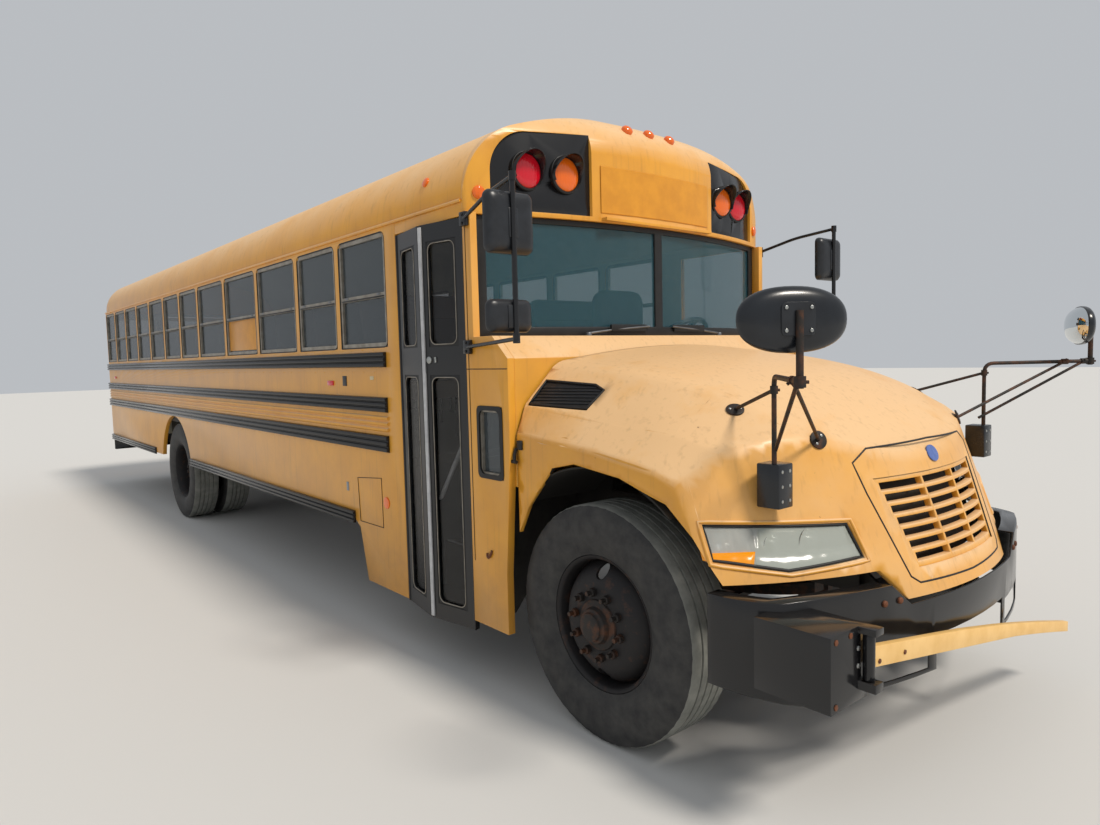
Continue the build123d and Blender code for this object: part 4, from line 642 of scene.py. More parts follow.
def add_band(bm, spot, way, bore, radius, reach, segments=24):
    """A plain ring around a tube, reaching as far each way along it."""
    add_lathe(bm, [(bore, -reach), (radius, -reach), (radius, reach), (bore, reach)], spot, way, segments)


class BUS_OT_finishes(bpy.types.Operator):
    """Give every solid its finish"""

    bl_idname = "bus.finishes"
    bl_label = "Finishes"

    def execute(self, context):
        make_materials(context.scene.bus_paint)
        for node, finish in FINISH_OF.items():
            slots = frame["nodes"][node].data.materials
            slots.clear()
            slots.append(MATERIALS[finish])
        return {"FINISHED"}


def softened(node, width):
    """A copy of a solid with its sharp edges rounded, standing for it."""
    bm = solid_copy(node)
    bmesh.ops.remove_doubles(bm, verts=bm.verts, dist=WELD)
    bmesh.ops.dissolve_limit(bm, angle_limit=math.radians(2), verts=bm.verts, edges=bm.edges)
    sharp = [edge for edge in bm.edges
             if len(edge.link_faces) == 2 and edge.calc_face_angle(0) > math.radians(32)]
    bmesh.ops.bevel(bm, geom=sharp, offset=width, segments=2, affect="EDGES", profile=0.5, clamp_overlap=True)
    return finish_mesh(f"{node}_softened", bm, frame["nodes"][node]["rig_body"], FINISH_OF[node], 40,
                       RECORD_SLOTS[node], node)


def looks_inside(face):
    """Whether a face of the walls or the roof looks towards the middle of the cabin."""
    inward = -face.normal.y * face.center.y - face.normal.z * (face.center.z - CABIN_CORE)
    return inward > 0.02 and abs(face.normal.x) < 0.5 and (abs(face.normal.y) > 0.3 or face.center.z > 2.5)


# The flashers: distance from the middle in millimetres and colour, and their height
FLASHERS = ((658, "amber"), (880, "red"))
FLASHER_HEIGHT = 2648


def slope_visors(mesh):
    """Cuts the flashers' visors back towards their lower ends."""
    for vert in mesh.vertices:
        for offset, _ in FLASHERS:
            root = at(cap_face(offset) - 20, 0, 0).x
            spot = Vector((abs(vert.co.y) - offset / 1000, vert.co.z - FLASHER_HEIGHT / 1000))
            if 0.085 < spot.length < 0.1 and vert.co.x > root + 0.012:
                share = max(spot.y / spot.length, 0.0)
                vert.co.x = root + (vert.co.x - root) * (0.3 + 0.7 * share)


class BUS_OT_softened(bpy.types.Operator):
    """Round the sharp edges of the painted shell and its fittings"""

    bl_idname = "bus.softened"
    bl_label = "Rounded edges"

    def execute(self, context):
        made = {node: softened(node, width).data for node, width in EDGE_ROUNDING.items()}
        for node in CABIN_WALLS:
            repaint(made[node], "inner_paint",
                    lambda face: looks_inside(face) or node == "rear_wall" and face.normal.x > 0.5)
        slope_visors(made["flasher_panels"])
        # The arm's hinge tube is black, like its brackets
        repaint(made["crossing_arm"], "black_enamel", lambda face: face.center.y < -0.958)
        return {"FINISHED"}


# The hood's cross-sections in millimetres: distance ahead of the axle, height of the crown, and then how far
# left and how high the three creases are
HOOD_ROWS = ((-505, 1742, 930, 1665, 1130, 1470, 1185, 1330), (0, 1680, 850, 1610, 1075, 1395, 1187, 1290),
             (350, 1590, 775, 1525, 1045, 1360, 1183, 1235), (650, 1435, 700, 1398, 990, 1290, 1150, 1130),
             (850, 1290, 635, 1270, 900, 1130, 1120, 960), (1000, 1150, 560, 1120, 800, 980, 1080, 800),
             (1180, 980, 470, 940, 700, 800, 1040, 640))
# Height of the line that the skin is measured from, and of the hood's lower edges
HOOD_CORE = 700
HOOD_FOOT = 600
# Radius of the nose's arc, and half the width that it spans
NOSE_ARC = 1746
NOSE_HALF = 1150


def hood_rows_at(ahead):
    """The hood's cross-section on straight lines between the stations, and the same on a smooth curve."""
    last = len(HOOD_ROWS) - 1
    index = max(i for i in range(last) if HOOD_ROWS[i][0] <= max(ahead, HOOD_ROWS[0][0]))
    first, second = HOOD_ROWS[index], HOOD_ROWS[index + 1]
    before, after = HOOD_ROWS[max(index - 1, 0)], HOOD_ROWS[min(index + 2, last)]
    span = second[0] - first[0]
    share = min(max((ahead - first[0]) / span, 0.0), 1.0)
    straight, smooth = [], []
    for column in range(1, 8):
        low, high = first[column], second[column]
        slope_low = (high - before[column]) / (second[0] - before[0]) * span
        slope_high = (after[column] - low) / (after[0] - first[0]) * span
        straight.append(low + (high - low) * share)
        smooth.append((2 * share**3 - 3 * share**2 + 1) * low + (share**3 - 2 * share**2 + share) * slope_low
                      + (3 * share**2 - 2 * share**3) * high + (share**3 - share**2) * slope_high)
    return straight, smooth


def reach_of(section, angle):
    """How far a cross-section is from the hood's core in a direction, in millimetres."""
    crown, y1, z1, y2, z2, y3, z3 = section
    points = [(y1 * step / 6, crown - (crown - z1) * (step / 6) ** 2) for step in range(7)]
    points += [(y2, z2), (y3, z3), (y3, 300)]
    dy, dz = math.cos(angle), math.sin(angle)
    for (ya, za), (yb, zb) in zip(points, points[1:]):
        cross = dy * (zb - za) - dz * (yb - ya)
        if abs(cross) < 1e-9:
            continue
        along = (ya * (zb - za) - (za - HOOD_CORE) * (yb - ya)) / cross
        part = (ya * dz - (za - HOOD_CORE) * dy) / cross
        if along > 0 and -1e-6 <= part <= 1 + 1e-6:
            return along
    return None


def nose_ahead(left, up):
    """How far ahead of the axle the raked, curved nose is, in millimetres."""
    return 1066 - 0.37 * (up - 792) - (NOSE_ARC - math.sqrt(NOSE_ARC**2 - left**2))


def hood_place(spot):
    """A point's distance ahead of the axle, to either side and up, and how far it is behind the nose."""
    ahead, left, up = (spot.x - FRONT_AXLE) * 1000, abs(spot.y) * 1000, spot.z * 1000
    return ahead, left, up, nose_ahead(min(left, NOSE_HALF), up) - ahead


def underseal_and_recess_shade(face):
    """Whether a face of the hood is on its inside, on the wheels' liners or on its rear edge; the test also
    takes the yellow walls of the nose's openings, where the dark finish is painted shade.
    """
    ahead, left, up, behind = hood_place(face.center)
    outward = Vector((0, face.center.y, face.center.z - HOOD_CORE / 1000)).normalized()
    skin = reach_of(hood_rows_at(ahead)[1], math.atan2(up - HOOD_CORE, left)) or 0
    inside = math.hypot(left, up - HOOD_CORE) < skin - 28 and behind > 30
    liner = left < 1174.5 and 672 < math.hypot(ahead, up - AXLE_HEIGHT * 1000) < 697
    return inside or liner or face.normal.dot(outward) < -0.25 or face.normal.x < -0.8


class BUS_OT_hood_skin(bpy.types.Operator):
    """Draw the hood's skin on smooth lines from the cowl to the nose"""

    bl_idname = "bus.hood_skin"
    bl_label = "Hood skin"

    def execute(self, context):
        bm = solid_copy("hood_shell")
        bmesh.ops.remove_doubles(bm, verts=bm.verts, dist=WELD)
        bmesh.ops.triangulate(bm, faces=bm.faces)
        for _ in range(3):
            long_edges = [edge for edge in bm.edges if edge.calc_length() > 0.065]
            bmesh.ops.subdivide_edges(bm, edges=long_edges, cuts=1)
            bmesh.ops.triangulate(bm, faces=bm.faces)
        for vert in bm.verts:
            ahead, left, up, behind = hood_place(vert.co)
            angle = math.atan2(up - HOOD_CORE, left)
            straight, smooth = (reach_of(section, angle) for section in hood_rows_at(ahead))
            if straight is None or smooth is None or up < HOOD_FOOT:
                continue
            # The nose and its openings keep their place, so the change fades out just behind them
            fade = min(max((behind - 20) / 150, 0.0), 1.0)
            ratio = 1 + (smooth / straight - 1) * fade
            vert.co.y *= ratio
            vert.co.z = (HOOD_CORE + (up - HOOD_CORE) * ratio) / 1000
        piece = finish_mesh("Hood_skin", bm, "hood", "yellow_enamel", 38, RECORD_SLOTS["hood_shell"],
                            "hood_shell")
        # The underseal also darkens the walls of the nose's openings: painted shade in those recesses
        repaint(piece.data, "underseal", underseal_and_recess_shade)
        return {"FINISHED"}


# How far the front wheels, the middles of the rear pairs and the rear tyres are from the bus's middle
FRONT_TRACK = 1.028
REAR_TRACK = 0.8825
REAR_INNER = 0.715
REAR_OUTER = 1.050
# Half the width of a tyre's tread, and how far under the tyre's outer radius the tread reaches, in metres
TREAD_HALF = 0.113
TREAD_DEEP = 0.012
# A sidewall, as (radius, distance from the tyre's middle) points from the bead to the shoulder
SIDEWALL = [(0.3024, -0.110), (0.3144, -0.116), (0.335, -0.126), (0.380, -0.1365), (0.425, -0.1392),
            (0.462, -0.1370), (0.490, -0.1315), (0.507, -0.1250), (TYRE_RADIUS - 0.006, -0.1195)]


def tyre_profile(settings):
    """One tyre's outline as (radius, distance from its middle): sidewalls and a grooved tread."""
    edge = 0.006 - TREAD_HALF
    land = -2 * edge / (settings.groove_count + 1)
    reach = settings.groove_width / 2
    floor = TYRE_RADIUS - settings.groove_depth
    tread = [(TYRE_RADIUS, edge)]
    for index in range(1, settings.groove_count + 1):
        groove = edge + index * land
        tread += [(TYRE_RADIUS, groove - reach), (floor, groove - reach * 0.6),
                  (floor, groove + reach * 0.6), (TYRE_RADIUS, groove + reach)]
    return SIDEWALL + tread + [(TYRE_RADIUS, -edge)] + [(r, -a) for r, a in reversed(SIDEWALL)]


class BUS_OT_tyres(bpy.types.Operator):
    """Add the six tyres with their grooved treads"""

    bl_idname = "bus.tyres"
    bl_label = "Tyres"

    def execute(self, context):
        bm = bmesh.new()
        add_lathe(bm, tyre_profile(context.scene.bus_wheels), (0, 0, 0), LEFT, 120)
        # Narrow sipes nick both shoulders of the tread all the way round
        for vert in bm.verts:
            radius = math.hypot(vert.co.x, vert.co.z)
            step = round(math.degrees(math.atan2(vert.co.z, vert.co.x)) / 3)
            if radius > TYRE_RADIUS - TREAD_DEEP and abs(vert.co.y) > 0.1 and step % 2:
                vert.co *= Vector(((radius - 0.002) / radius, 1, (radius - 0.002) / radius))
        mesh = mesh_of("Tyre", bm, 35, "rubber")
        repaint(mesh, "tread_rubber", lambda face: abs(face.center.y) < 0.1155
                and math.hypot(face.center.x, face.center.z) > TYRE_RADIUS - TREAD_DEEP)
        for word, side in SIDES:
            for name, body, x, y in (("front", "front_wheel_" + word, FRONT_AXLE, FRONT_TRACK),
                                     ("rear_inner", "rear_wheels_" + word, REAR_AXLE, REAR_INNER),
                                     ("rear_outer", "rear_wheels_" + word, REAR_AXLE, REAR_OUTER)):
                place_mesh(f"Tyre_{name}_{word}", mesh, body, "tyre", body, place=(x, side * y, AXLE_HEIGHT))
        return {"FINISHED"}


# Turned profiles of the wheels, as (radius, distance outward from the wheel's middle) points in metres
FRONT_RIM = [(0.277, -0.106), (0.302, -0.106), (0.302, -0.098), (0.286, -0.090), (0.280, -0.03),
             (0.286, 0.088), (0.3015, 0.097), (0.3020, 0.106), (0.298, 0.109), (0.287, 0.104),
             (0.280, 0.094), (0.274, 0.050), (0.272, 0.000), (0.272, -0.100)]
FRONT_DISC = [(0.274, 0.030), (0.262, 0.052), (0.240, 0.084), (0.215, 0.108), (0.192, 0.121), (0.170, 0.126),
              (0.100, 0.126), (0.100, 0.116), (0.168, 0.116), (0.188, 0.111), (0.209, 0.099), (0.233, 0.075),
              (0.254, 0.044), (0.266, 0.022)]
FRONT_HUB = [(0, 0.187), (0.030, 0.187), (0.052, 0.184), (0.060, 0.178), (0.062, 0.168), (0.066, 0.164),
             (0.074, 0.160), (0.078, 0.150), (0.082, 0.140), (0.108, 0.134), (0.112, 0.127), (0.1, 0.1),
             (0.04, 0.09), (0, 0.09)]
REAR_RIM = [(0.277, 0.062), (0.302, 0.062), (0.302, 0.070), (0.286, 0.080), (0.280, 0.17), (0.286, 0.256),
            (0.302, 0.266), (0.302, 0.274), (0.292, 0.277), (0.280, 0.262), (0.273, 0.2), (0.272, 0.066)]
REAR_DISC = [(0.276, 0.128), (0.262, 0.098), (0.240, 0.066), (0.215, 0.036), (0.192, 0.018), (0.170, 0.013),
             (0.100, 0.013), (0.100, 0.001), (0.168, 0.001), (0.188, 0.006), (0.209, 0.024), (0.233, 0.054),
             (0.254, 0.086), (0.268, 0.110)]
REAR_HUB = [(0, 0.190), (0.088, 0.190), (0.095, 0.186), (0.097, 0.172), (0.104, 0.160), (0.106, 0.05),
            (0.112, 0.030), (0.112, 0.014), (0.112, -0.060), (0.0757, -0.060), (0.0757, 0.034), (0, 0.034)]


def add_studs(bm, centre, axis, circle, count, root, length):
    """Hexagon nuts on studs around a hub."""
    axis = Vector(axis)
    across = axis.orthogonal().normalized()
    up = axis.cross(across)
    for index in range(count):
        angle = 2 * math.pi * (index + 0.5) / count
        spot = centre + (across * math.cos(angle) + up * math.sin(angle)) * circle
        add_lathe(bm, [(0, root), (0.0195, root), (0.0195, root + 0.022), (0.016, root + 0.026),
                       (0.0105, root + 0.026), (0.0105, root + length), (0, root + length)],
                  spot, axis, 6, closed=False)


def bored(piece, bores, axis, radius, depth):
    """Bores round holes through a piece along an axis."""
    bm = bmesh.new()
    for centre in bores:
        add_disc(bm, centre - Vector(axis) * depth, axis, radius, depth * 2, 32)
    cutter = bpy.data.objects.new("Bore", mesh_of("Bore", bm))
    bpy.context.scene.collection.objects.link(cutter)
    cut = piece.modifiers.new("Bore", "BOOLEAN")
    cut.object = cutter
    cut.operation = "DIFFERENCE"
    cut.solver = "EXACT"
    whole = len(piece.data.polygons)
    piece_now = piece.evaluated_get(bpy.context.evaluated_depsgraph_get())
    mesh = bpy.data.meshes.new_from_object(piece_now)
    piece.modifiers.clear()
    piece.data = mesh
    bpy.data.objects.remove(cutter)
    if len(mesh.polygons) < whole * 0.8:
        raise RuntimeError(f"{piece.name} lost its faces when it was bored")


class BUS_OT_wheels(bpy.types.Operator):
    """Add the steel disc wheels, hubs, studs and nuts"""

    bl_idname = "bus.wheels"
    bl_label = "Wheels and hubs"

    def execute(self, context):
        settings = context.scene.bus_wheels
        studs = settings.stud_circle, settings.stud_count
        for word, side in SIDES:
            axis = (0, side, 0)
            centre, body = Vector((FRONT_AXLE, side * FRONT_TRACK, AXLE_HEIGHT)), "front_wheel_" + word
            rim, disc, hub = bmesh.new(), bmesh.new(), bmesh.new()
            add_lathe(rim, FRONT_RIM, centre, axis, 96)
            finish_mesh(f"Rim_front_{word}", rim, body, "rim_steel", 35, "tyre")
            add_lathe(disc, FRONT_DISC, centre, axis, 96)
            disc = finish_mesh(f"Wheel_disc_front_{word}", disc, body, "rim_steel", 35, "tyre")
            holes = [centre + Vector((0, 0, way * 0.228)) for way in (1, -1)]
            bored(disc, holes, axis, settings.hand_hole, 0.2)
            add_lathe(hub, FRONT_HUB, centre, axis, 48, closed=False)
            add_studs(hub, centre, axis, *studs, 0.124, 0.048)
            finish_mesh(f"Hub_front_{word}", hub, body, "hub_iron", 35, "tyre")
            centre, body = Vector((REAR_AXLE, side * REAR_TRACK, AXLE_HEIGHT)), "rear_wheels_" + word
            discs, hub = bmesh.new(), bmesh.new()
            for way in (1, -1):
                for profile in (REAR_RIM, REAR_DISC):
                    add_lathe(discs, [(radius, way * along) for radius, along in profile], centre, axis, 96)
            finish_mesh(f"Wheel_discs_rear_{word}", discs, body, "rim_steel", 35, "tyre")
            add_lathe(hub, REAR_HUB, centre, axis, 48, closed=False)
            add_studs(hub, centre, axis, *studs, 0.012, 0.05)
            add_studs(hub, centre + Vector((0, side * 0.186, 0)), axis, 0.072, 8, 0.0, 0.010)
            finish_mesh(f"Hub_rear_{word}", hub, body, "hub_iron", 35, "tyre")
        return {"FINISHED"}


# The flashers' lenses, in metres, and the rear lamps: radius and height in millimetres, and colour
LENS_RADIUS = 0.0875
REAR_LAMPS = ((90, 1560, "red"), (60, 1010, "amber"))


class BUS_OT_cap(bpy.types.Operator):
    """Add the cap's blank sign panel, the flashers, the brow lamps and the rear lamps"""

    bl_idname = "bus.cap"
    bl_label = "Cap and lamps"

    def execute(self, context):
        # The blank sign panel follows the cap's arc between the two lamp pockets
        bm = bmesh.new()
        columns = [-450 + 37.5 * step for step in range(25)]
        grid = [[bm.verts.new(at(cap_face(left) + proud, left, height)) for left in columns]
                for height, proud in ((2462, 1), (2466, 5), (2712, 5), (2716, 1))]
        for lower, upper in zip(grid, grid[1:]):
            for step in range(len(columns) - 1):
                bm.faces.new((lower[step], lower[step + 1], upper[step + 1], upper[step]))
        finish_mesh("Sign_panel_blank", bm, "bus", "sign_film", 40, "yellow_paint")
        bezels, lenses = bmesh.new(), {"red": bmesh.new(), "amber": bmesh.new()}
        for side in (-1, 1):
            for offset, colour in FLASHERS:
                front, left = cap_face(offset), side * offset
                add_lathe(bezels, [(0.0885, -0.004), (0.0995, -0.004), (0.0995, 0.010), (0.0885, 0.014)],
                          at(front - 20, left, FLASHER_HEIGHT), AHEAD, 48)
                add_disc(lenses[colour], at(front - 50, left, FLASHER_HEIGHT), AHEAD,
                         LENS_RADIUS, 0.038, 40, 0.018)
                add_disc(lenses[colour], (ROOF_REAR - 0.004, left / 1000, FLASHER_HEIGHT / 1000), (-1, 0, 0),
                         LENS_RADIUS, 0.012, 40, 0.012)
            for size, height, colour in REAR_LAMPS:
                radius, spot = size / 1000, Vector((ROOF_REAR, side * 1.030, height / 1000))
                add_lathe(bezels, [(radius - 0.002, 0.0), (radius + 0.01, 0.0), (radius + 0.01, 0.012),
                                   (radius - 0.002, 0.016)], spot, (-1, 0, 0), 40)
                add_disc(lenses[colour], spot - Vector((0.004, 0, 0)), (-1, 0, 0),
                         radius - 0.002, 0.010, 32, 0.012)
        cap, roof = search_tree("front_cap"), search_tree("roof")
        for left in (-178, 0, 178):
            # Domed marker lamps on the brow of the cap, flat ones across the rear
            spot, normal = touch(cap, at(-728, left, 3300), (0, 0, -1))
            add_disc(lenses["amber"], spot - normal * 0.004, normal, 0.034, 0.012, 28, 0.020)
            add_box(lenses["red"], (ROOF_REAR - 0.019, (left - 54) / 1000, 2.801),
                    (ROOF_REAR, (left + 54) / 1000, 2.834), 0.006)
        # Small side markers: amber near the cap, red on the wall, round reflectors low on the skirt
        for side in (-1, 1):
            spot, normal = from_side(cap, -822, side, 2520)
            add_disc(lenses["amber"], spot - normal * 0.002, normal, 0.032, 0.012, 24, 0.008)
            spot, normal = from_side(roof, -1239, side, 2640)
            add_disc(lenses["amber"], spot - normal * 0.002, normal, 0.026, 0.010, 24, 0.006)
            # The round skirt reflector takes the amber lamps' lens with its faint glow: painted light on a
            # part that is no lamp
            add_disc(lenses["amber"], at(-1791, side * 1217, 830), (0, side, 0), 0.036, 0.007, 28, 0.003)
            for ahead in (-2529, -9900):
                add_box(lenses["red"], at(ahead - 45, side * 1218 - 10, 1535),
                        at(ahead + 45, side * 1218 + 10, 1568), 0.005)
        finish_mesh("Lamp_bezels", bezels, "bus", "seal_rubber", 35, "black_paint")
        for colour, bm in lenses.items():
            finish_mesh("Lenses_" + colour, bm, "bus", colour + "_lens", 35, "lamp_lens", "lamps")
        return {"FINISHED"}


# The vents' openings as (ahead, up), and their slats: how many, the lowest one's height, and their pitch
VENT_OUTLINE = ((-484, 1574), (-196, 1554), (-134, 1531), (-157, 1453), (-484, 1468))
SLAT_COUNT = 6
SLAT_FOOT = 1474
SLAT_STEP = 14


class BUS_OT_hood_trim(bpy.types.Operator):
    """Add the side vents' slats, the latches and the plain badge"""

    bl_idname = "bus.hood_trim"
    bl_label = "Vents, latches and badge"

    def execute(self, context):
        vents = search_tree("hood_vents")
        rims, slats, latches, hooks = (bmesh.new() for _ in range(4))
        for side in (-1, 1):
            line = []
            for (x0, z0), (x1, z1) in zip(VENT_OUTLINE, VENT_OUTLINE[1:] + VENT_OUTLINE[:1]):
                for step in range(4):
                    ahead, up = x0 + (x1 - x0) * step / 4, z0 + (z1 - z0) * step / 4
                    spot, normal = from_side(vents, ahead, side, up)
                    line.append(spot + normal * 0.005)
            add_tube(rims, line, 0.006, 8, around=(0, side, 0.01))
            for row in range(SLAT_COUNT):
                height = SLAT_FOOT + row * SLAT_STEP
                front = -150 - max(height - 1531, 0) * 2.6
                met = [from_side(vents, -478 + (front + 478) * step / 8, side, height) for step in range(9)]
                add_tube(slats, [spot + normal * 0.002 for spot, normal in met], 0.0034, 8)
            # A rubber T-latch: its handle on the hood, its keeper on the cowl, and a rusty hook below
            add_box(latches, at(-498, side * 1188 - 9, 1255), at(-462, side * 1188 + 9, 1300), 0.005)
            strap = [(-508, 1190, 1262), (-508, 1202, 1232), (-506, 1204, 1200)]
            add_tube(latches, [at(x, side * y, z) for x, y, z in strap], 0.008, 10)
            add_tube(latches, [at(-524, side * 1204, 1198), at(-490, side * 1204, 1198)], 0.0085, 10)
            hook = [(-690, 1222, 738), (-694, 1228, 716), (-708, 1232, 698), (-720, 1230, 704),
                    (-722, 1228, 722)]
            add_tube(hooks, bend([at(x, side * y, z) for x, y, z in hook], 0.012, 4), 0.006, 10)
        finish_mesh("Vent_rims", rims, "hood", "seal_rubber", 50, "black_paint")
        finish_mesh("Vent_slats", slats, "hood", "black_plastic", 50, "black_paint")
        finish_mesh("Hood_latches", latches, "hood", "seal_rubber", 35, "black_paint")
        finish_mesh("Cowl_hooks", hooks, "bus", "rusty_steel", 40, "frame_black")
        # A bare oval badge, lower than it is wide
        bm = bmesh.new()
        spot, normal = from_ahead(search_tree("hood_shell"), 0, 1236)
        add_disc(bm, spot - normal * 0.001, normal, 0.045, 0.005, 40, 0.003)
        for vert in bm.verts:
            vert.co.z = spot.z + (vert.co.z - spot.z) * 0.8
        finish_mesh("Badge_blank", bm, "hood", "badge_blue", 40, "yellow_paint")
        return {"FINISHED"}


# The flat mirrors' heads: nearest and furthest edge, foot, top and depth in millimetres
DOOR_HEADS = ((1183, 1440, 2148, 2423, 56), (1206, 1450, 1803, 1950, 44))
# Where the mirrors' post stands: how far ahead of the axle, and to the side
DOOR_POST = (-315, 1316)


class BUS_OT_mirrors(bpy.types.Operator):
    """Add the flat door mirrors"""

    bl_idname = "bus.mirrors"
    bl_label = "Door mirrors"

    def execute(self, context):
        post_ahead, post_out = DOOR_POST
        for word, side in SIDES:
            heads, arms, panes = bmesh.new(), bmesh.new(), bmesh.new()
            for near, far, foot, top, deep in DOOR_HEADS:
                left, up, depth = side * (near + far) / 2, (foot + top) / 2, deep / 1000
                levels = [(0.0, 0.010), (0.004, 0.002), (depth * 0.3, 0.0), (depth * 0.62, 0.006),
                          (depth * 0.84, 0.020), (depth * 0.95, 0.042), (depth, 0.075)]
                outline = rounded_outline((far - near) / 1000, (top - foot) / 1000, 0.034)
                add_levels(heads, at(post_ahead - 6 - deep, left, up), LEFT, UP, outline, levels)
                # A flat pad on the back where the clamp sits
                pad = deep / DOOR_HEADS[0][-1]
                add_box(heads, at(-330, left - 26, up - 70 * pad), at(-317, left + 26, up + 60 * pad), 0.004)
                outline = rounded_outline((far - near - 22) / 1000, (top - foot - 22) / 1000, 0.024)
                add_levels(panes, at(post_ahead - 7 - deep, left, up), LEFT, UP, outline,
                           [(0, 0.0006), (0.0015, 0)])
            post_left = side * post_out
            add_tube(arms, [at(post_ahead, post_left, 1760), at(post_ahead, post_left, 2495)], 0.0125, 16)
            for height, post_height, rise in ((2383, 2480, 18), (1751, 1775, 0)):
                foot, post = at(-833, side * 1233, height), at(post_ahead, post_left, post_height)
                knee = foot.lerp(post, 0.5) + Vector((0, 0, rise / 1000))
                add_tube(arms, bend([foot, knee, post], 0.06), 0.0098, 14)
                add_box(arms, at(-860, side * 1231 - 12, height - 35),
                        at(-806, side * 1231 + 12, height + 35), 0.004)
                for bolt in (height - 22, height + 22):
                    add_disc(arms, at(-833, side * 1243, bolt), (0, side, 0), 0.008, 0.005, 6, 0.002)
                add_band(arms, post, UP, 0.012, 0.0165, 0.02)
            finish_mesh(f"Mirror_heads_door_{word}", heads, "bus", "black_plastic", 45, "black_paint")
            finish_mesh(f"Mirror_arms_door_{word}", arms, "bus", "black_enamel", 40, "black_paint",
                        "door_mirror_" + word)
            finish_mesh(f"Mirror_glass_door_{word}", panes, "bus", "mirror", 30, "black_paint")
        return {"FINISHED"}


# Levels of a crossview mirror's shell and glass: distance towards the driver in metres, and share of the oval
SHELL_LEVELS = [(0.008, 0.5), (0.014, 0.74), (0.021, 0.86), (0.030, 0.95), (0.040, 0.995), (0.053, 1.0),
                (0.056, 0.97)]
GLASS_LEVELS = [(0.054, 0.955), (0.064, 0.92), (0.078, 0.83), (0.091, 0.69), (0.1, 0.5), (0.106, 0.28),
                (0.1075, 0.1)]
# How far the crossview mirrors are turned outward
CROSSVIEW_TURN = math.radians(30)


class BUS_OT_crossview(bpy.types.Operator):
    """Add the crossview mirrors: bolted foot, tube frame, clamps and oval heads"""

    bl_idname = "bus.crossview"
    bl_label = "Crossview mirrors"

    def execute(self, context):
        for word, side in SIDES:
            tubes, shells, glass, plate, bolts = (bmesh.new() for _ in range(5))
            post, knee = at(750, side * 950, 1270), at(750, side * 950, 1600)
            joint = at(1110, side * 1355, 1600)
            arm = joint - knee
            add_tube(tubes, bend([post, knee, joint], 0.05), 0.0095, 14)
            # Two stays stand on round pads on the hood: one holds the post, one the arm
            for foot, normal, top, way in (
                    (at(465, side * 800, 1456), Vector((0.38, side * 0.39, 0.84)),
                     knee - Vector((0, 0, 0.049)), UP),
                    (at(742, side * 641, 1338), Vector((0.88, side * 0.34, 0.33)), knee + arm * 0.76, arm)):
                add_tube(tubes, [foot + normal * 0.004, top], 0.0072, 12)
                add_disc(tubes, foot, normal, 0.037, 0.006, 28, 0.004)
                for turn in (-0.021, 0.021):
                    spot = foot + normal.orthogonal().normalized() * turn + normal * 0.006
                    add_disc(bolts, spot, normal, 0.006, 0.004, 6, 0.001)
                add_clamp(tubes, top, way, 0.010, 0.03)
            add_tube(tubes, [at(735, side * 925, 1315), knee + arm * 0.94], 0.0072, 12)
            add_clamp(tubes, knee + arm * 0.94, arm, 0.010, 0.03)
            add_tube(tubes, [joint - Vector((0, 0, 0.02)), joint + Vector((0, 0, 0.21))], 0.0115, 14)
            add_clamp(tubes, joint, UP, 0.0125, 0.034)
            add_box(shells, at(686, side * 925 - 46, 1112), at(784, side * 925 + 46, 1278), 0.006)
            # The egg-shaped head: a gloss shell in front, a convex mirror towards the driver
            way = Vector((-math.cos(CROSSVIEW_TURN), -side * math.sin(CROSSVIEW_TURN), 0))
            across = Vector((side * math.sin(CROSSVIEW_TURN), -math.cos(CROSSVIEW_TURN), 0))
            centre = at(1110, side * 1355, 1785)
            for bm, levels in ((shells, SHELL_LEVELS), (glass, GLASS_LEVELS)):
                add_levels(bm, centre, across, UP, egg_outline(0.352, 0.2, 2.3), levels, insets=False)
            add_levels(plate, centre, across, UP, rounded_outline(0.11, 0.1, 0.018),
                       [(0.004, 0.002), (0.006, 0.0), (0.010, 0.0)])
            for a, u in ((-0.04, -0.034), (0.04, -0.034), (-0.04, 0.034), (0.04, 0.034)):
                spot = centre + across * a + Vector((0, 0, u)) + way * 0.005
                add_disc(bolts, spot, -way, 0.006, 0.004, 6, 0.001)
            for left in (-24, 24):
                for height in (1140, 1195, 1250):
                    add_disc(bolts, at(783, side * 925 + left, height), AHEAD, 0.007, 0.002, 6, 0.001)
            for name, bm, finish, angle in (
                    ("frame", tubes, "iron", 40), ("shell", shells, "gloss_black", 42),
                    ("mirror", glass, "mirror", 42), ("plate", plate, "black_plastic", 42),
                    ("bolts", bolts, "bright_steel", 42)):
                finish_mesh(f"Crossview_{name}_{word}", bm, "hood", finish, angle, "black_paint",
                            "hood_mirror_" + word)
        return {"FINISHED"}


# The headlamp's opening as (left, up), and the point that it grows from: the lens sits a step behind the skin
LAMP_OUTLINE = ((1130, 1050), (625, 1025), (600, 890), (900, 865), (1130, 913))
LAMP_MIDDLE = (870, 955)
# The lamps' bowls: how far left they are and their radius in millimetres, and their depth in metres
LAMP_BOWLS = ((770, 62, 0.09), (905, 48, 0.07), (1050, 36, 0.05))
# The seam of the removable nose panel, as (left, up)
NOSE_SEAM = ((-520, 1240), (-430, 1290), (0, 1300), (430, 1290), (520, 1240), (500, 1120), (420, 800),
             (380, 772), (0, 764), (-380, 772), (-420, 800), (-500, 1120))


def lamp_line(tree, side, grow, proud):
    """A closed line around the headlamp's opening, grown outward, on the surface in front of it."""
    line = []
    for left, up in walk(LAMP_OUTLINE, 30):
        off, rise = left - LAMP_MIDDLE[0], up - LAMP_MIDDLE[1]
        left += math.copysign(min(abs(off) / 200, 1), off) * grow
        up += math.copysign(min(abs(rise) / 50, 1), rise) * grow
        line.append(from_ahead(tree, side * left, up)[0] + Vector((proud / 1000, 0, 0)))
    return line


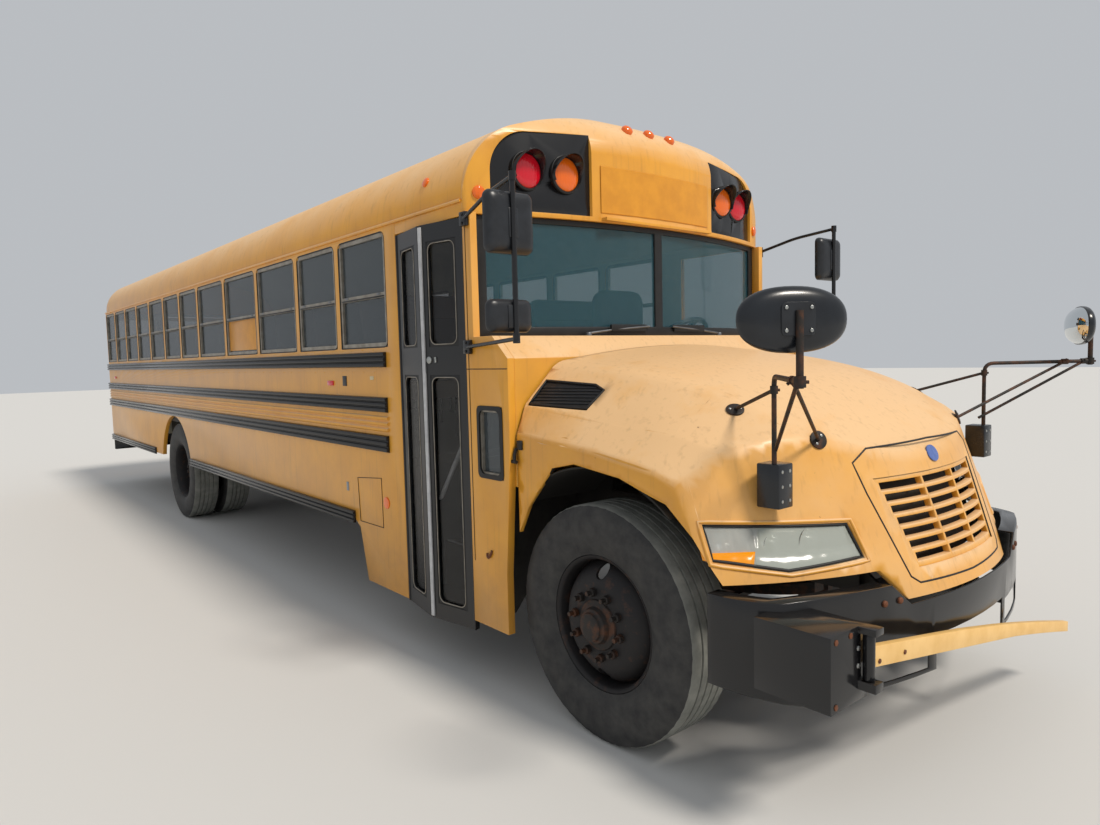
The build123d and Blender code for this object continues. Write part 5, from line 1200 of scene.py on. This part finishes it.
class BUS_OT_nose_trim(bpy.types.Operator):
    """Add the seam around the grille, the insect screen, and the lamps' bowls, lenses and surrounds"""

    bl_idname = "bus.nose_trim"
    bl_label = "Nose and headlamps"

    def execute(self, context):
        radius = context.scene.bus_trim.seal_radius
        skin, lenses = search_tree("hood_shell"), search_tree("headlights")
        seams, screen, shade_sheet, surrounds, bowls = (bmesh.new() for _ in range(5))
        seam = [at(nose_ahead(left, up) - 2, left, up) for left, up in walk(NOSE_SEAM, 40)]
        add_tube(seams, seam, radius, 8, around=(1, 0, 0.01))
        for side in (-1, 1):
            # A black gasket ring at each lens's edge, whose darkness also stands for the shade in the lamp's
            # recess: painted shade
            add_tube(seams, lamp_line(lenses, side, -7, 2), 0.006, 8, around=(1, 0, 0.01))
            add_tube(surrounds, lamp_line(skin, side, 9, -1), 0.0075, 10, around=(1, 0, 0.01))
            # A round bowl for each beam, and a small one for the turn signal
            for left, size, deep in LAMP_BOWLS:
                front, _ = from_ahead(lenses, side * left, LAMP_MIDDLE[1])
                rim = size / 1000
                profile = [(0.012, -deep), (rim * 0.55, -deep * 0.85), (rim * 0.85, -deep * 0.45), (rim, 0),
                           (rim + 0.003, 0), (rim * 0.87 + 0.003, -deep * 0.46), (0.016, -deep - 0.004)]
                add_lathe(bowls, profile, front - Vector((0.034, 0, 0)), AHEAD, 40)
        finish_mesh("Nose_seams_and_lens_shade_rings", seams, "hood", "seal_rubber", 50, "black_paint")
        # A black insect screen behind the grille, and below the radiator a black rubber sheet that fills the
        # gap under the nose with painted shade
        section = ((812, 92), (1186, 92), (1186, 88), (812, 88))
        rings = [[screen.verts.new(at(nose_ahead(left, up) - back, left, up)) for up, back in section]
                 for left in range(-500, 501, 100)]
        add_rings(screen, rings)
        finish_mesh("Insect_screen", screen, "hood", "underseal", 40, "frame_black")
        # The black sheet stands for the underbody's shadow and hides the lit floor: painted shade
        add_box(shade_sheet, at(904, -330, 560), at(910, 330, 706), 0.002)
        finish_mesh("Shade_sheet_under_nose", shade_sheet, "bus", "seal_rubber", 40, "frame_black")
        finish_mesh("Headlamp_surrounds", surrounds, "hood", "yellow_enamel", 60, "yellow_paint")
        # The lens is hazed over the beams, and ribbed with an amber foot beyond a slanting line
        bm = solid_copy("headlights")
        bmesh.ops.remove_doubles(bm, verts=bm.verts, dist=WELD)
        for side in (-1, 1):
            for spot, way in (((0, side * 0.985, 0.95), (0, side, 0.35)), ((0, 0, 0.945), UP)):
                whole = bm.verts[:] + bm.edges[:] + bm.faces[:]
                bmesh.ops.bisect_plane(bm, geom=whole, plane_co=spot, plane_no=way)
        lens = finish_mesh("Headlamp_lenses", bm, "hood", "hazed_lens", 30, "lens", "headlights").data
        beyond = {face.index for face in lens.polygons
                  if abs(face.center.y) + 0.35 * (face.center.z - 0.95) > 0.985}
        repaint(lens, "ribbed_lens", lambda face: face.index in beyond and face.center.z >= 0.945)
        repaint(lens, "turn_lens", lambda face: face.index in beyond and face.center.z < 0.945)
        finish_mesh("Headlamp_bowls", bowls, "hood", "reflector", 40, "lens")
        return {"FINISHED"}


# The benches: nearest and furthest edge from the aisle's middle, how many rows, and the pitch of the rows
SEAT_SPAN = (0.205, 1.173)
SEAT_ROWS = 11
SEAT_PITCH = 0.760


class BUS_OT_seats(bpy.types.Operator):
    """Upholster the benches and the driver's seat"""

    bl_idname = "bus.seats"
    bl_label = "Seats"

    def execute(self, context):
        width = SEAT_SPAN[1] - SEAT_SPAN[0] - 0.01
        for word, side in SIDES:
            covers, legs = bmesh.new(), bmesh.new()
            y = side * sum(SEAT_SPAN) / 2
            for row in range(SEAT_ROWS):
                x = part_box("seats_" + word)[1].x - 0.430 - row * SEAT_PITCH
                add_levels(covers, (x + 0.218, y, FLOOR_TOP + 0.332), AHEAD, LEFT,
                           rounded_outline(0.415, width, 0.05),
                           [(0.0, 0.014), (0.012, 0.003), (0.05, 0.0), (0.085, 0.006), (0.103, 0.022),
                            (0.109, 0.055), (0.110, 0.12)])
                add_levels(covers, (x - 0.055, y, FLOOR_TOP + 0.700), LEFT, (-0.1, 0, 0.55),
                           rounded_outline(width, 0.600, 0.06),
                           [(0.0, 0.05), (0.004, 0.02), (0.016, 0.004), (0.040, 0.0), (0.064, 0.004),
                            (0.076, 0.02), (0.080, 0.06)])
                # Sewn welt across the back, under the head roll
                welt = [(x + 0.016, y + way * (width / 2 - 0.03), FLOOR_TOP + 0.85) for way in (-1, 1)]
                add_tube(covers, welt, 0.004, 8)
                for leg_x in (x + 0.035, x + 0.395):
                    for leg_y in (side * 0.275, side * (SEAT_SPAN[1] - 0.069)):
                        leg = [(leg_x, leg_y, FLOOR_TOP + height) for height in (0.001, 0.333)]
                        add_tube(legs, leg, 0.0125, 12)
                        add_disc(legs, (leg_x, leg_y, FLOOR_TOP + 0.0005), UP, 0.024, 0.004, 16, 0.002)
            piece = finish_mesh(f"Bench_covers_{word}", covers, "bus", "vinyl", 60, "seat_vinyl",
                                "seats_" + word)
            finish_mesh(f"Bench_legs_{word}", legs, "bus", "black_enamel", 40, "frame_black")
        low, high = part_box("driver_seat")
        y = (low.y + high.y) / 2
        cover, pedestal = bmesh.new(), bmesh.new()
        add_levels(cover, (high.x - 0.235, y, FLOOR_TOP + 0.352), AHEAD, LEFT,
                   rounded_outline(0.46, 0.47, 0.07),
                   [(0.0, 0.02), (0.02, 0.004), (0.07, 0.0), (0.1, 0.012), (0.115, 0.05), (0.117, 0.12)])
        add_levels(cover, (low.x + 0.005, y, FLOOR_TOP + 0.735), LEFT, UP, rounded_outline(0.45, 0.60, 0.09),
                   [(0.0, 0.05), (0.008, 0.012), (0.05, 0.0), (0.09, 0.012), (0.108, 0.05), (0.11, 0.11)])
        piece = finish_mesh("Driver_seat_cover", cover, "bus", "vinyl", 60, "seat_vinyl", "driver_seat")
        add_lathe(pedestal, [(0, 0.0), (0.12, 0.0), (0.12, 0.02), (0.06, 0.05), (0.055, 0.30), (0.10, 0.345),
                             (0, 0.345)], (high.x - 0.24, y, FLOOR_TOP), UP, 32, closed=False)
        finish_mesh("Driver_seat_pedestal", pedestal, "bus", "black_enamel", 40, "frame_black")
        return {"FINISHED"}


# The side windows' lower and upper edges, and the middle of the bar between their sashes, in metres
WINDOW_FOOT = 1.774
WINDOW_TOP = 2.449
WINDOW_BAR = WINDOW_FOOT + 0.46 * (WINDOW_TOP - WINDOW_FOOT)
# From the front: how many windows have the same pitch, and that pitch; then half of a pillar's width,
# and how far behind the front axle the first pitch starts, all in metres
WINDOW_PITCHES = ((2, 0.700), (3, 0.850), (7, 0.680))
HALF_PILLAR = 0.0325
FIRST_PITCH = 1.665


def window_spans():
    """Rear and front X of every side window opening, front window first."""
    edge = FRONT_AXLE - FIRST_PITCH
    spans = []
    for count, pitch in WINDOW_PITCHES:
        for _ in range(count):
            spans.append((max(edge - pitch + HALF_PILLAR, BODY_REAR + 0.074), edge - HALF_PILLAR))
            edge -= pitch
    return spans


class BUS_OT_windows(bpy.types.Operator):
    """Add the side windows' seals, slides and catches"""

    bl_idname = "bus.windows"
    bl_label = "Side windows"

    def execute(self, context):
        radius = context.scene.bus_trim.seal_radius
        for word, side in SIDES:
            seals, catches = bmesh.new(), bmesh.new()
            for rear, front in window_spans():
                path = [(x, side * (HALF_WIDTH / 1000 - 0.003), z)
                        for x, z in ((rear, WINDOW_FOOT), (front, WINDOW_FOOT), (front, WINDOW_TOP),
                                     (rear, WINDOW_TOP), (rear, WINDOW_FOOT))]
                add_tube(seals, bend(path, 0.05), radius, 8)
                # The upper sash's lower rail stands in front of the lower sash
                add_box(seals, (rear + 0.030, side * 1.2155, WINDOW_BAR - 0.012),
                        (front - 0.030, side * 1.2195, WINDOW_BAR - 0.004), 0.001)
                for x in (rear + 0.10, front - 0.10):
                    add_box(catches, (x - 0.022, side * 1.2145, WINDOW_BAR + 0.001),
                            (x + 0.022, side * 1.2185, WINDOW_BAR + 0.013), 0.0015)
            finish_mesh(f"Window_seals_{word}", seals, "bus", "seal_rubber", 45, "black_paint")
            finish_mesh(f"Window_catches_{word}", catches, "bus", "aluminium", 30, "aluminium")
        return {"FINISHED"}


# The front edges of the entrance's treads: left and up, in metres
STEP_EDGES = ((-1.175, 0.330), (-0.950, 0.5933), (-0.725, 0.8567))
# Each entrance leaf: where its hinge is, in millimetres, and the direction from there along it
LEAF_TURN = math.radians(10)
LEAVES = {"door_leaf_front": ((-875.3, -1212), (-math.cos(LEAF_TURN), -math.sin(LEAF_TURN))),
          "door_leaf_rear": ((-1557.7, -1212), (math.cos(LEAF_TURN), -math.sin(LEAF_TURN)))}
FRONT_LEAF = "door_leaf_front"
# The entrance leaves' panes: width, and foot and top of each, in millimetres
PANE_WIDTH = 228.2
PANES = ((370, 1610), (1760, 2310))
# Plates and tape on the right side: finish, rear and lower corner, front and upper corner
SMALL_PLATES = {"Plate_black": ("plate_black", (-2340, 1535), (-2280, 1600)),
                "Plate_pale": ("plate_pale", (-1945, 1578), (-1895, 1600)),
                "Tape_grey": ("plate_grey", (-2350, 842), (-2318, 900))}


def leaf_point(leaf, along, out, up):
    """A point on an entrance leaf: from its hinge along it, out of its face, and up, in millimetres."""
    (ahead, left), (u, v) = LEAVES[leaf]
    outward = (-v, u) if u < 0 else (v, -u)
    return at(ahead + u * along + outward[0] * out, left + v * along + outward[1] * out, up)


class BUS_OT_entrance(bpy.types.Operator):
    """Add the entrance's gaskets, nosing, lock, rail and step edges, and the small trim around it"""

    bl_idname = "bus.entrance"
    bl_label = "Entrance and small trim"

    def execute(self, context):
        gap_radius = context.scene.bus_trim.gap_radius
        up = Vector(UP)
        for leaf in LEAVES:
            gaskets, beads = bmesh.new(), bmesh.new()
            across = (leaf_point(leaf, 100, 0, 0) - leaf_point(leaf, 0, 0, 0)).normalized()
            if across.cross(up).y >= 0:
                across = -across
            normal = across.cross(up)
            for foot, top in PANES:
                size = (PANE_WIDTH / 1000, (top - foot) / 1000)
                spot = leaf_point(leaf, 169.1, -11, (foot + top) / 2)
                add_border(gaskets, spot, across, size, 0.012, 0.045, 0.012, 0.004)
                outline = rounded_outline(size[0] - 0.024, size[1] - 0.024, 0.04, 6)
                bead = [spot + across * a + up * u + normal * 0.011 for a, u in outline]
                add_tube(beads, bead, gap_radius, 8, around=normal + up * 0.01)
            finish_mesh("Gaskets_" + leaf, gaskets, leaf, "seal_rubber", 40, "black_paint")
            finish_mesh("Gasket_beads_" + leaf, beads, leaf, "sash", 50, "black_paint")
        nosing, lock, rail, edges = (bmesh.new() for _ in range(4))
        strip = [leaf_point(FRONT_LEAF, along, out, 294)
                 for along, out in ((314.8, 0.4), (314.8, 7.9), (337.9, 7.9), (337.9, 0.4))]
        add_prism(nosing, strip, (0, 0, 2.095))
        finish_mesh("Door_nosing", nosing, FRONT_LEAF, "white_paint", 40, "black_paint")
        way = leaf_point(FRONT_LEAF, 0, 1, 0) - leaf_point(FRONT_LEAF, 0, 0, 0)
        add_disc(lock, leaf_point(FRONT_LEAF, 285, -0.5, 1690), way, 0.019, 0.006, 28, 0.004)
        add_box(lock, leaf_point(FRONT_LEAF, 246, 0, 1676), leaf_point(FRONT_LEAF, 228, 4, 1706), 0.002)
        finish_mesh("Door_lock", lock, FRONT_LEAF, "bright_steel", 40, "aluminium")
        # A slanting grab rail stands off the front leaf's inner face
        line = [leaf_point(FRONT_LEAF, *spot)
                for spot in ((302, -29.5, 940), (302, -62, 940), (34, -62, 1370), (34, -29.5, 1370))]
        add_tube(rail, bend(line, 0.03, 5), 0.012, 14)
        finish_mesh("Door_grab_rail", rail, FRONT_LEAF, "white_paint", 40, "aluminium")
        low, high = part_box("stepwell")
        for y, z in STEP_EDGES:
            add_box(edges, (low.x + 0.018, y - 0.003, z - 0.02),
                    (high.x - 0.018, y + 0.022, z + 0.003), 0.003)
        finish_mesh("Step_nosings", edges, "bus", "white_paint", 40, "aluminium")
        frames, pane, gaps = bmesh.new(), bmesh.new(), bmesh.new()
        for side in (-1, 1):
            add_border(frames, at(-680, side * 1217, 1278), (-side, 0, 0), (0.216, 0.362),
                       0.022, 0.035, 0.008, 0.03)
        finish_mesh("Quarter_window_frames", frames, "bus", "seal_rubber", 40, "black_paint")
        rear, front = window_spans()[3]
        add_box(pane, (rear + 0.036, -1.2035, 1.812), (front - 0.036, -1.2005, 2.075), 0.001)
        finish_mesh("Blanked_lower_pane", pane, "bus", "sign_film", 40, "yellow_paint")
        # The fuel door's gap and the cowl's panel seams
        door = ((-2178, 945), (-1850, 975), (-1846, 668), (-2160, 664))
        line = [at(ahead, -1219.5, height) for ahead, height in door]
        add_tube(gaps, line, gap_radius, 8, around=(0, -1, 0.01))
        for foot, top in (((-866, 1640), (-524, 1640)), ((-845, 660), (-845, 2400))):
            add_tube(gaps, [at(ahead, -1219.3, height) for ahead, height in (foot, top)], 0.0022, 8)
        finish_mesh("Panel_gaps", gaps, "bus", "seal_rubber", 40, "black_paint")
        for name, (finish, foot, top) in SMALL_PLATES.items():
            bm = bmesh.new()
            add_box(bm, at(foot[0], -1221.5, foot[1]), at(top[0], -1218.5, top[1]), 0.0008)
            finish_mesh(name, bm, "bus", finish, 40, "yellow_paint")
        return {"FINISHED"}


def add_bolts(bm, tree, spots, radius, depth, sides, dome):
    """Bolt heads on the surface that is met from in front of the bus."""
    for left, up in spots:
        spot, normal = from_ahead(tree, left, up)
        add_disc(bm, spot - normal * 0.001, normal, radius, depth, sides, dome)


class BUS_OT_front_fittings(bpy.types.Operator):
    """Add the bumper's and the crossing gate's bolts, and the rear door's handle and window seals"""

    bl_idname = "bus.front_fittings"
    bl_label = "Bumper, gate and rear fittings"

    def execute(self, context):
        bright, rusty, arm, handle, seals = (bmesh.new() for _ in range(5))
        carriage = [(side * left, 742) for side in (-1, 1) for left in (560, 640, 1010)]
        add_bolts(rusty, search_tree("front_bumper"), carriage, 0.013, 0.006, 12, 0.005)
        gate = search_tree("crossing_gate_box")
        add_bolts(rusty, gate, ((-1150, 540), (-1150, 755), (-1060, 755)), 0.011, 0.004, 6, 0.002)
        add_bolts(bright, gate, ((-1010, 640), (-1010, 700)), 0.009, 0.004, 6, 0.002)
        finish_mesh("Gate_bolts_bright", bright, "bus", "bright_steel", 40, "frame_black")
        finish_mesh("Bumper_and_gate_bolts", rusty, "bus", "rusty_steel", 40, "frame_black")
        add_bolts(arm, search_tree("crossing_arm"), ((-940, 648), (-760, 630)), 0.009, 0.004, 6, 0.002)
        finish_mesh("Gate_arm_bolts", arm, "crossing_arm", "rusty_steel", 40, "frame_black")
        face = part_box("rear_door")[0].x
        root = Vector((face + 0.002, 0.40, 1.18))
        add_disc(handle, root, (-1, 0, 0), 0.03, 0.008, 28, 0.004)
        grip = [root, (face - 0.03, 0.40, 1.18), (face - 0.03, 0.27, 1.18)]
        add_tube(handle, bend(grip, 0.015, 5), 0.008, 12)
        finish_mesh("Rear_door_handle", handle, "rear_door", "bright_steel", 40, "black_paint")
        for side in (-1, 1):
            add_border(seals, (BODY_REAR + 0.001, side * 0.82, 2.087), (0, -1, 0), (0.544, 0.65), 0.026, 0.05,
                       0.006, 0.06)
        finish_mesh("Rear_window_seals", seals, "bus", "seal_rubber", 40, "black_paint")
        return {"FINISHED"}


class BUS_OT_wipers(bpy.types.Operator):
    """Replace the wiper rods with arms and blades"""

    bl_idname = "bus.wipers"
    bl_label = "Wipers"

    def execute(self, context):
        arms, blades = bmesh.new(), bmesh.new()
        for side in (-1, 1):
            pivot, tip = at(-666, side * 560, 1814), at(-650, side * 100, 1852)
            add_disc(arms, at(-666, side * 560, 1801), UP, 0.016, 0.014, 20, 0.006)
            add_tube(arms, [pivot, pivot.lerp(tip, 0.4) + Vector((0.002, 0, 0.004)), tip], 0.0062, 8)
            way = (tip - pivot).normalized()
            add_box(blades, tip - way * 0.30 + Vector((-0.006, 0, -0.004)),
                    tip - way * 0.02 + Vector((0, 0, 0.012)), 0.001)
        for name, bm, finish in (("arms", arms, "aluminium"), ("blades", blades, "seal_rubber")):
            finish_mesh("Wiper_" + name, bm, "bus", finish, 40, "black_paint", "wipers")
        return {"FINISHED"}


# Heights of the rows of rivets, and the drip rail's section: how far out of the wall, and up, in millimetres
RIVET_ROWS = (1762, 1624, 1370, 1256, 1130, 2462)
DRIP_SECTION = ((0, 2478), (9, 2474), (13, 2482), (10, 2490), (7, 2482), (0, 2486))
# The stop sign's middle, in millimetres, and its border: half the octagon's width and how proud, in metres
SIGN_AHEAD = -1415
SIGN_LEFT = 1283
SIGN_UP = 1520
SIGN_BORDER = ((0.221, -0.0002), (0.221, 0.0006), (0.209, 0.0006), (0.209, -0.0002))


class BUS_OT_rivets(bpy.types.Operator):
    """Add rows of rivets to the body's panels, the drip rails over the windows and the stop sign's border"""

    bl_idname = "bus.rivets"
    bl_label = "Rivets, drip rails and sign border"

    def execute(self, context):
        settings = context.scene.bus_trim
        rivets, rails, border = bmesh.new(), bmesh.new(), bmesh.new()
        head = [(0, 0.0028), (settings.rivet_radius * 0.7, 0.002), (settings.rivet_radius, 0.0)]
        for side in (-1, 1):
            for height in RIVET_ROWS:
                x = BODY_REAR + 0.09
                while x < FRONT_AXLE - (1.60 if height > 2000 else 1.74):
                    spot = (x, side * HALF_WIDTH / 1000, height / 1000)
                    add_lathe(rivets, head, spot, (0, side, 0), 8, closed=False)
                    x += settings.rivet_pitch
            add_prism(rails, [at(-10320, side * (1218 + out), up) for out, up in DRIP_SECTION], (9.45, 0, 0))
        finish_mesh("Panel_rivets", rivets, "bus", "yellow_enamel", 60, "yellow_paint")
        finish_mesh("Drip_rails", rails, "bus", "yellow_enamel", 40, "yellow_paint")
        sign = search_tree("stop_arm")
        turns = [math.radians(22.5 + 45 * step) for step in range(8)]
        for face in (1, -1):
            spot, normal = touch(sign, at(SIGN_AHEAD, SIGN_LEFT + face * 200, 1600), (0, -face, 0))
            centre = Vector((at(SIGN_AHEAD, 0, 0).x, spot.y, SIGN_UP / 1000))
            rings = []
            for apothem, proud in SIGN_BORDER:
                reach = apothem / math.cos(turns[0])
                rings.append([border.verts.new(centre + Vector((reach * math.cos(a), normal.y * proud,
                                                                reach * math.sin(a)))) for a in turns])
            add_rings(border, rings, closed=True)
        finish_mesh("Stop_sign_border", border, "stop_arm", "white_paint", 30, "black_paint")
        return {"FINISHED"}


# The sun lamp's direction, and the camera: its place in millimetres and its turns in degrees
SUN_WAY = (-0.62, -0.13, -0.78)
CAMERA_PLACE = (2359.4, -3346.6, 1693.0)
CAMERA_YAW = 39.584
CAMERA_PITCH = 4.225
CAMERA_ROLL = -1.442


class BUS_OT_stage(bpy.types.Operator):
    """Add the pale floor, the lights and the camera"""

    bl_idname = "bus.stage"
    bl_label = "Stage"

    def execute(self, context):
        scene = context.scene
        settings = scene.bus_stage
        MATERIALS["floor"] = two_tone("Plain_pale_floor", settings.floor, settings.floor, 2000, 0.9, bump=0.0)
        bm = bmesh.new()
        bmesh.ops.create_grid(bm, x_segments=1, y_segments=1, size=60)
        floor = bpy.data.objects.new("Floor", mesh_of("Floor", bm, None, "floor"))
        scene.collection.objects.link(floor)
        scene.world = bpy.data.worlds.new("Soft_studio")
        scene.world.use_nodes = True
        tree = scene.world.node_tree
        tree.nodes.clear()
        sockets = {"Color": linear(settings.backdrop), "Strength": settings.fill}
        sky = add(tree, "ShaderNodeBackground", sockets)
        add(tree, "ShaderNodeOutputWorld", {"Surface": sky.outputs[0]})
        sun = bpy.data.lights.new("Key_sun", "SUN")
        sun.energy = settings.key
        sun.angle = math.radians(12)
        sun.color = linear("#FFF7EC")[:3]
        lamp = bpy.data.objects.new("Key_sun", sun)
        lamp.rotation_euler = Vector(SUN_WAY).to_track_quat("-Z", "Y").to_euler()
        scene.collection.objects.link(lamp)
        camera = bpy.data.cameras.new("Photo_camera")
        camera.sensor_width = 36
        camera.lens = settings.focal
        camera.clip_end = 500
        yaw, pitch, roll = (math.radians(turn) for turn in (CAMERA_YAW, CAMERA_PITCH, CAMERA_ROLL))
        level = math.cos(pitch)
        forward = Vector((-math.cos(yaw) * level, math.sin(yaw) * level, -math.sin(pitch)))
        right = forward.cross(Vector(UP)).normalized()
        up = right.cross(forward)
        right, up = math.cos(roll) * right + math.sin(roll) * up, math.cos(roll) * up - math.sin(roll) * right
        holder = bpy.data.objects.new("Photo_camera", camera)
        turned = Matrix((right, up, -forward)).transposed().to_4x4()
        holder.matrix_world = Matrix.Translation(at(*CAMERA_PLACE)) @ turned
        scene.collection.objects.link(holder)
        scene.camera = holder
        scene.view_settings.view_transform = "Standard"
        return {"FINISHED"}


OPERATORS = (BUS_OT_finishes, BUS_OT_softened, BUS_OT_hood_skin, BUS_OT_tyres, BUS_OT_wheels, BUS_OT_cap,
             BUS_OT_hood_trim, BUS_OT_mirrors, BUS_OT_crossview, BUS_OT_nose_trim, BUS_OT_seats,
             BUS_OT_windows, BUS_OT_entrance, BUS_OT_front_fittings, BUS_OT_wipers, BUS_OT_rivets,
             BUS_OT_stage)
GROUPS = {"bus_paint": BusPaintSettings, "bus_wheels": BusWheelSettings, "bus_trim": BusTrimSettings,
          "bus_stage": BusStageSettings}


class BUS_PT_panel(bpy.types.Panel):
    """The bus's operators and settings"""

    bl_idname = "BUS_PT_panel"
    bl_label = "School bus"
    bl_space_type = "VIEW_3D"
    bl_region_type = "UI"
    bl_category = "Bus"

    def draw(self, context):
        for operator in OPERATORS:
            self.layout.operator(operator.bl_idname)
        for name, group in GROUPS.items():
            for key in group.__annotations__:
                self.layout.prop(getattr(context.scene, name), key)


def register():
    """Registers the settings, the operators and the panel."""
    for name, group in GROUPS.items():
        bpy.utils.register_class(group)
        setattr(bpy.types.Scene, name, PointerProperty(type=group))
    for kind in (*OPERATORS, BUS_PT_panel):
        bpy.utils.register_class(kind)


def unregister():
    """Takes the panel, the operators and the settings away again."""
    for kind in (BUS_PT_panel, *reversed(OPERATORS)):
        bpy.utils.unregister_class(kind)
    for name, group in reversed(GROUPS.items()):
        delattr(bpy.types.Scene, name)
        bpy.utils.unregister_class(group)


def main():
    """Runs every operator in order."""
    register()
    bpy.ops.bus.finishes()
    bpy.ops.bus.softened()
    bpy.ops.bus.hood_skin()
    bpy.ops.bus.tyres()
    bpy.ops.bus.wheels()
    bpy.ops.bus.cap()
    bpy.ops.bus.hood_trim()
    bpy.ops.bus.mirrors()
    bpy.ops.bus.crossview()
    bpy.ops.bus.nose_trim()
    bpy.ops.bus.seats()
    bpy.ops.bus.windows()
    bpy.ops.bus.entrance()
    bpy.ops.bus.front_fittings()
    bpy.ops.bus.wipers()
    bpy.ops.bus.rivets()
    bpy.ops.bus.stage()


if __name__ == "__main__":
    main()
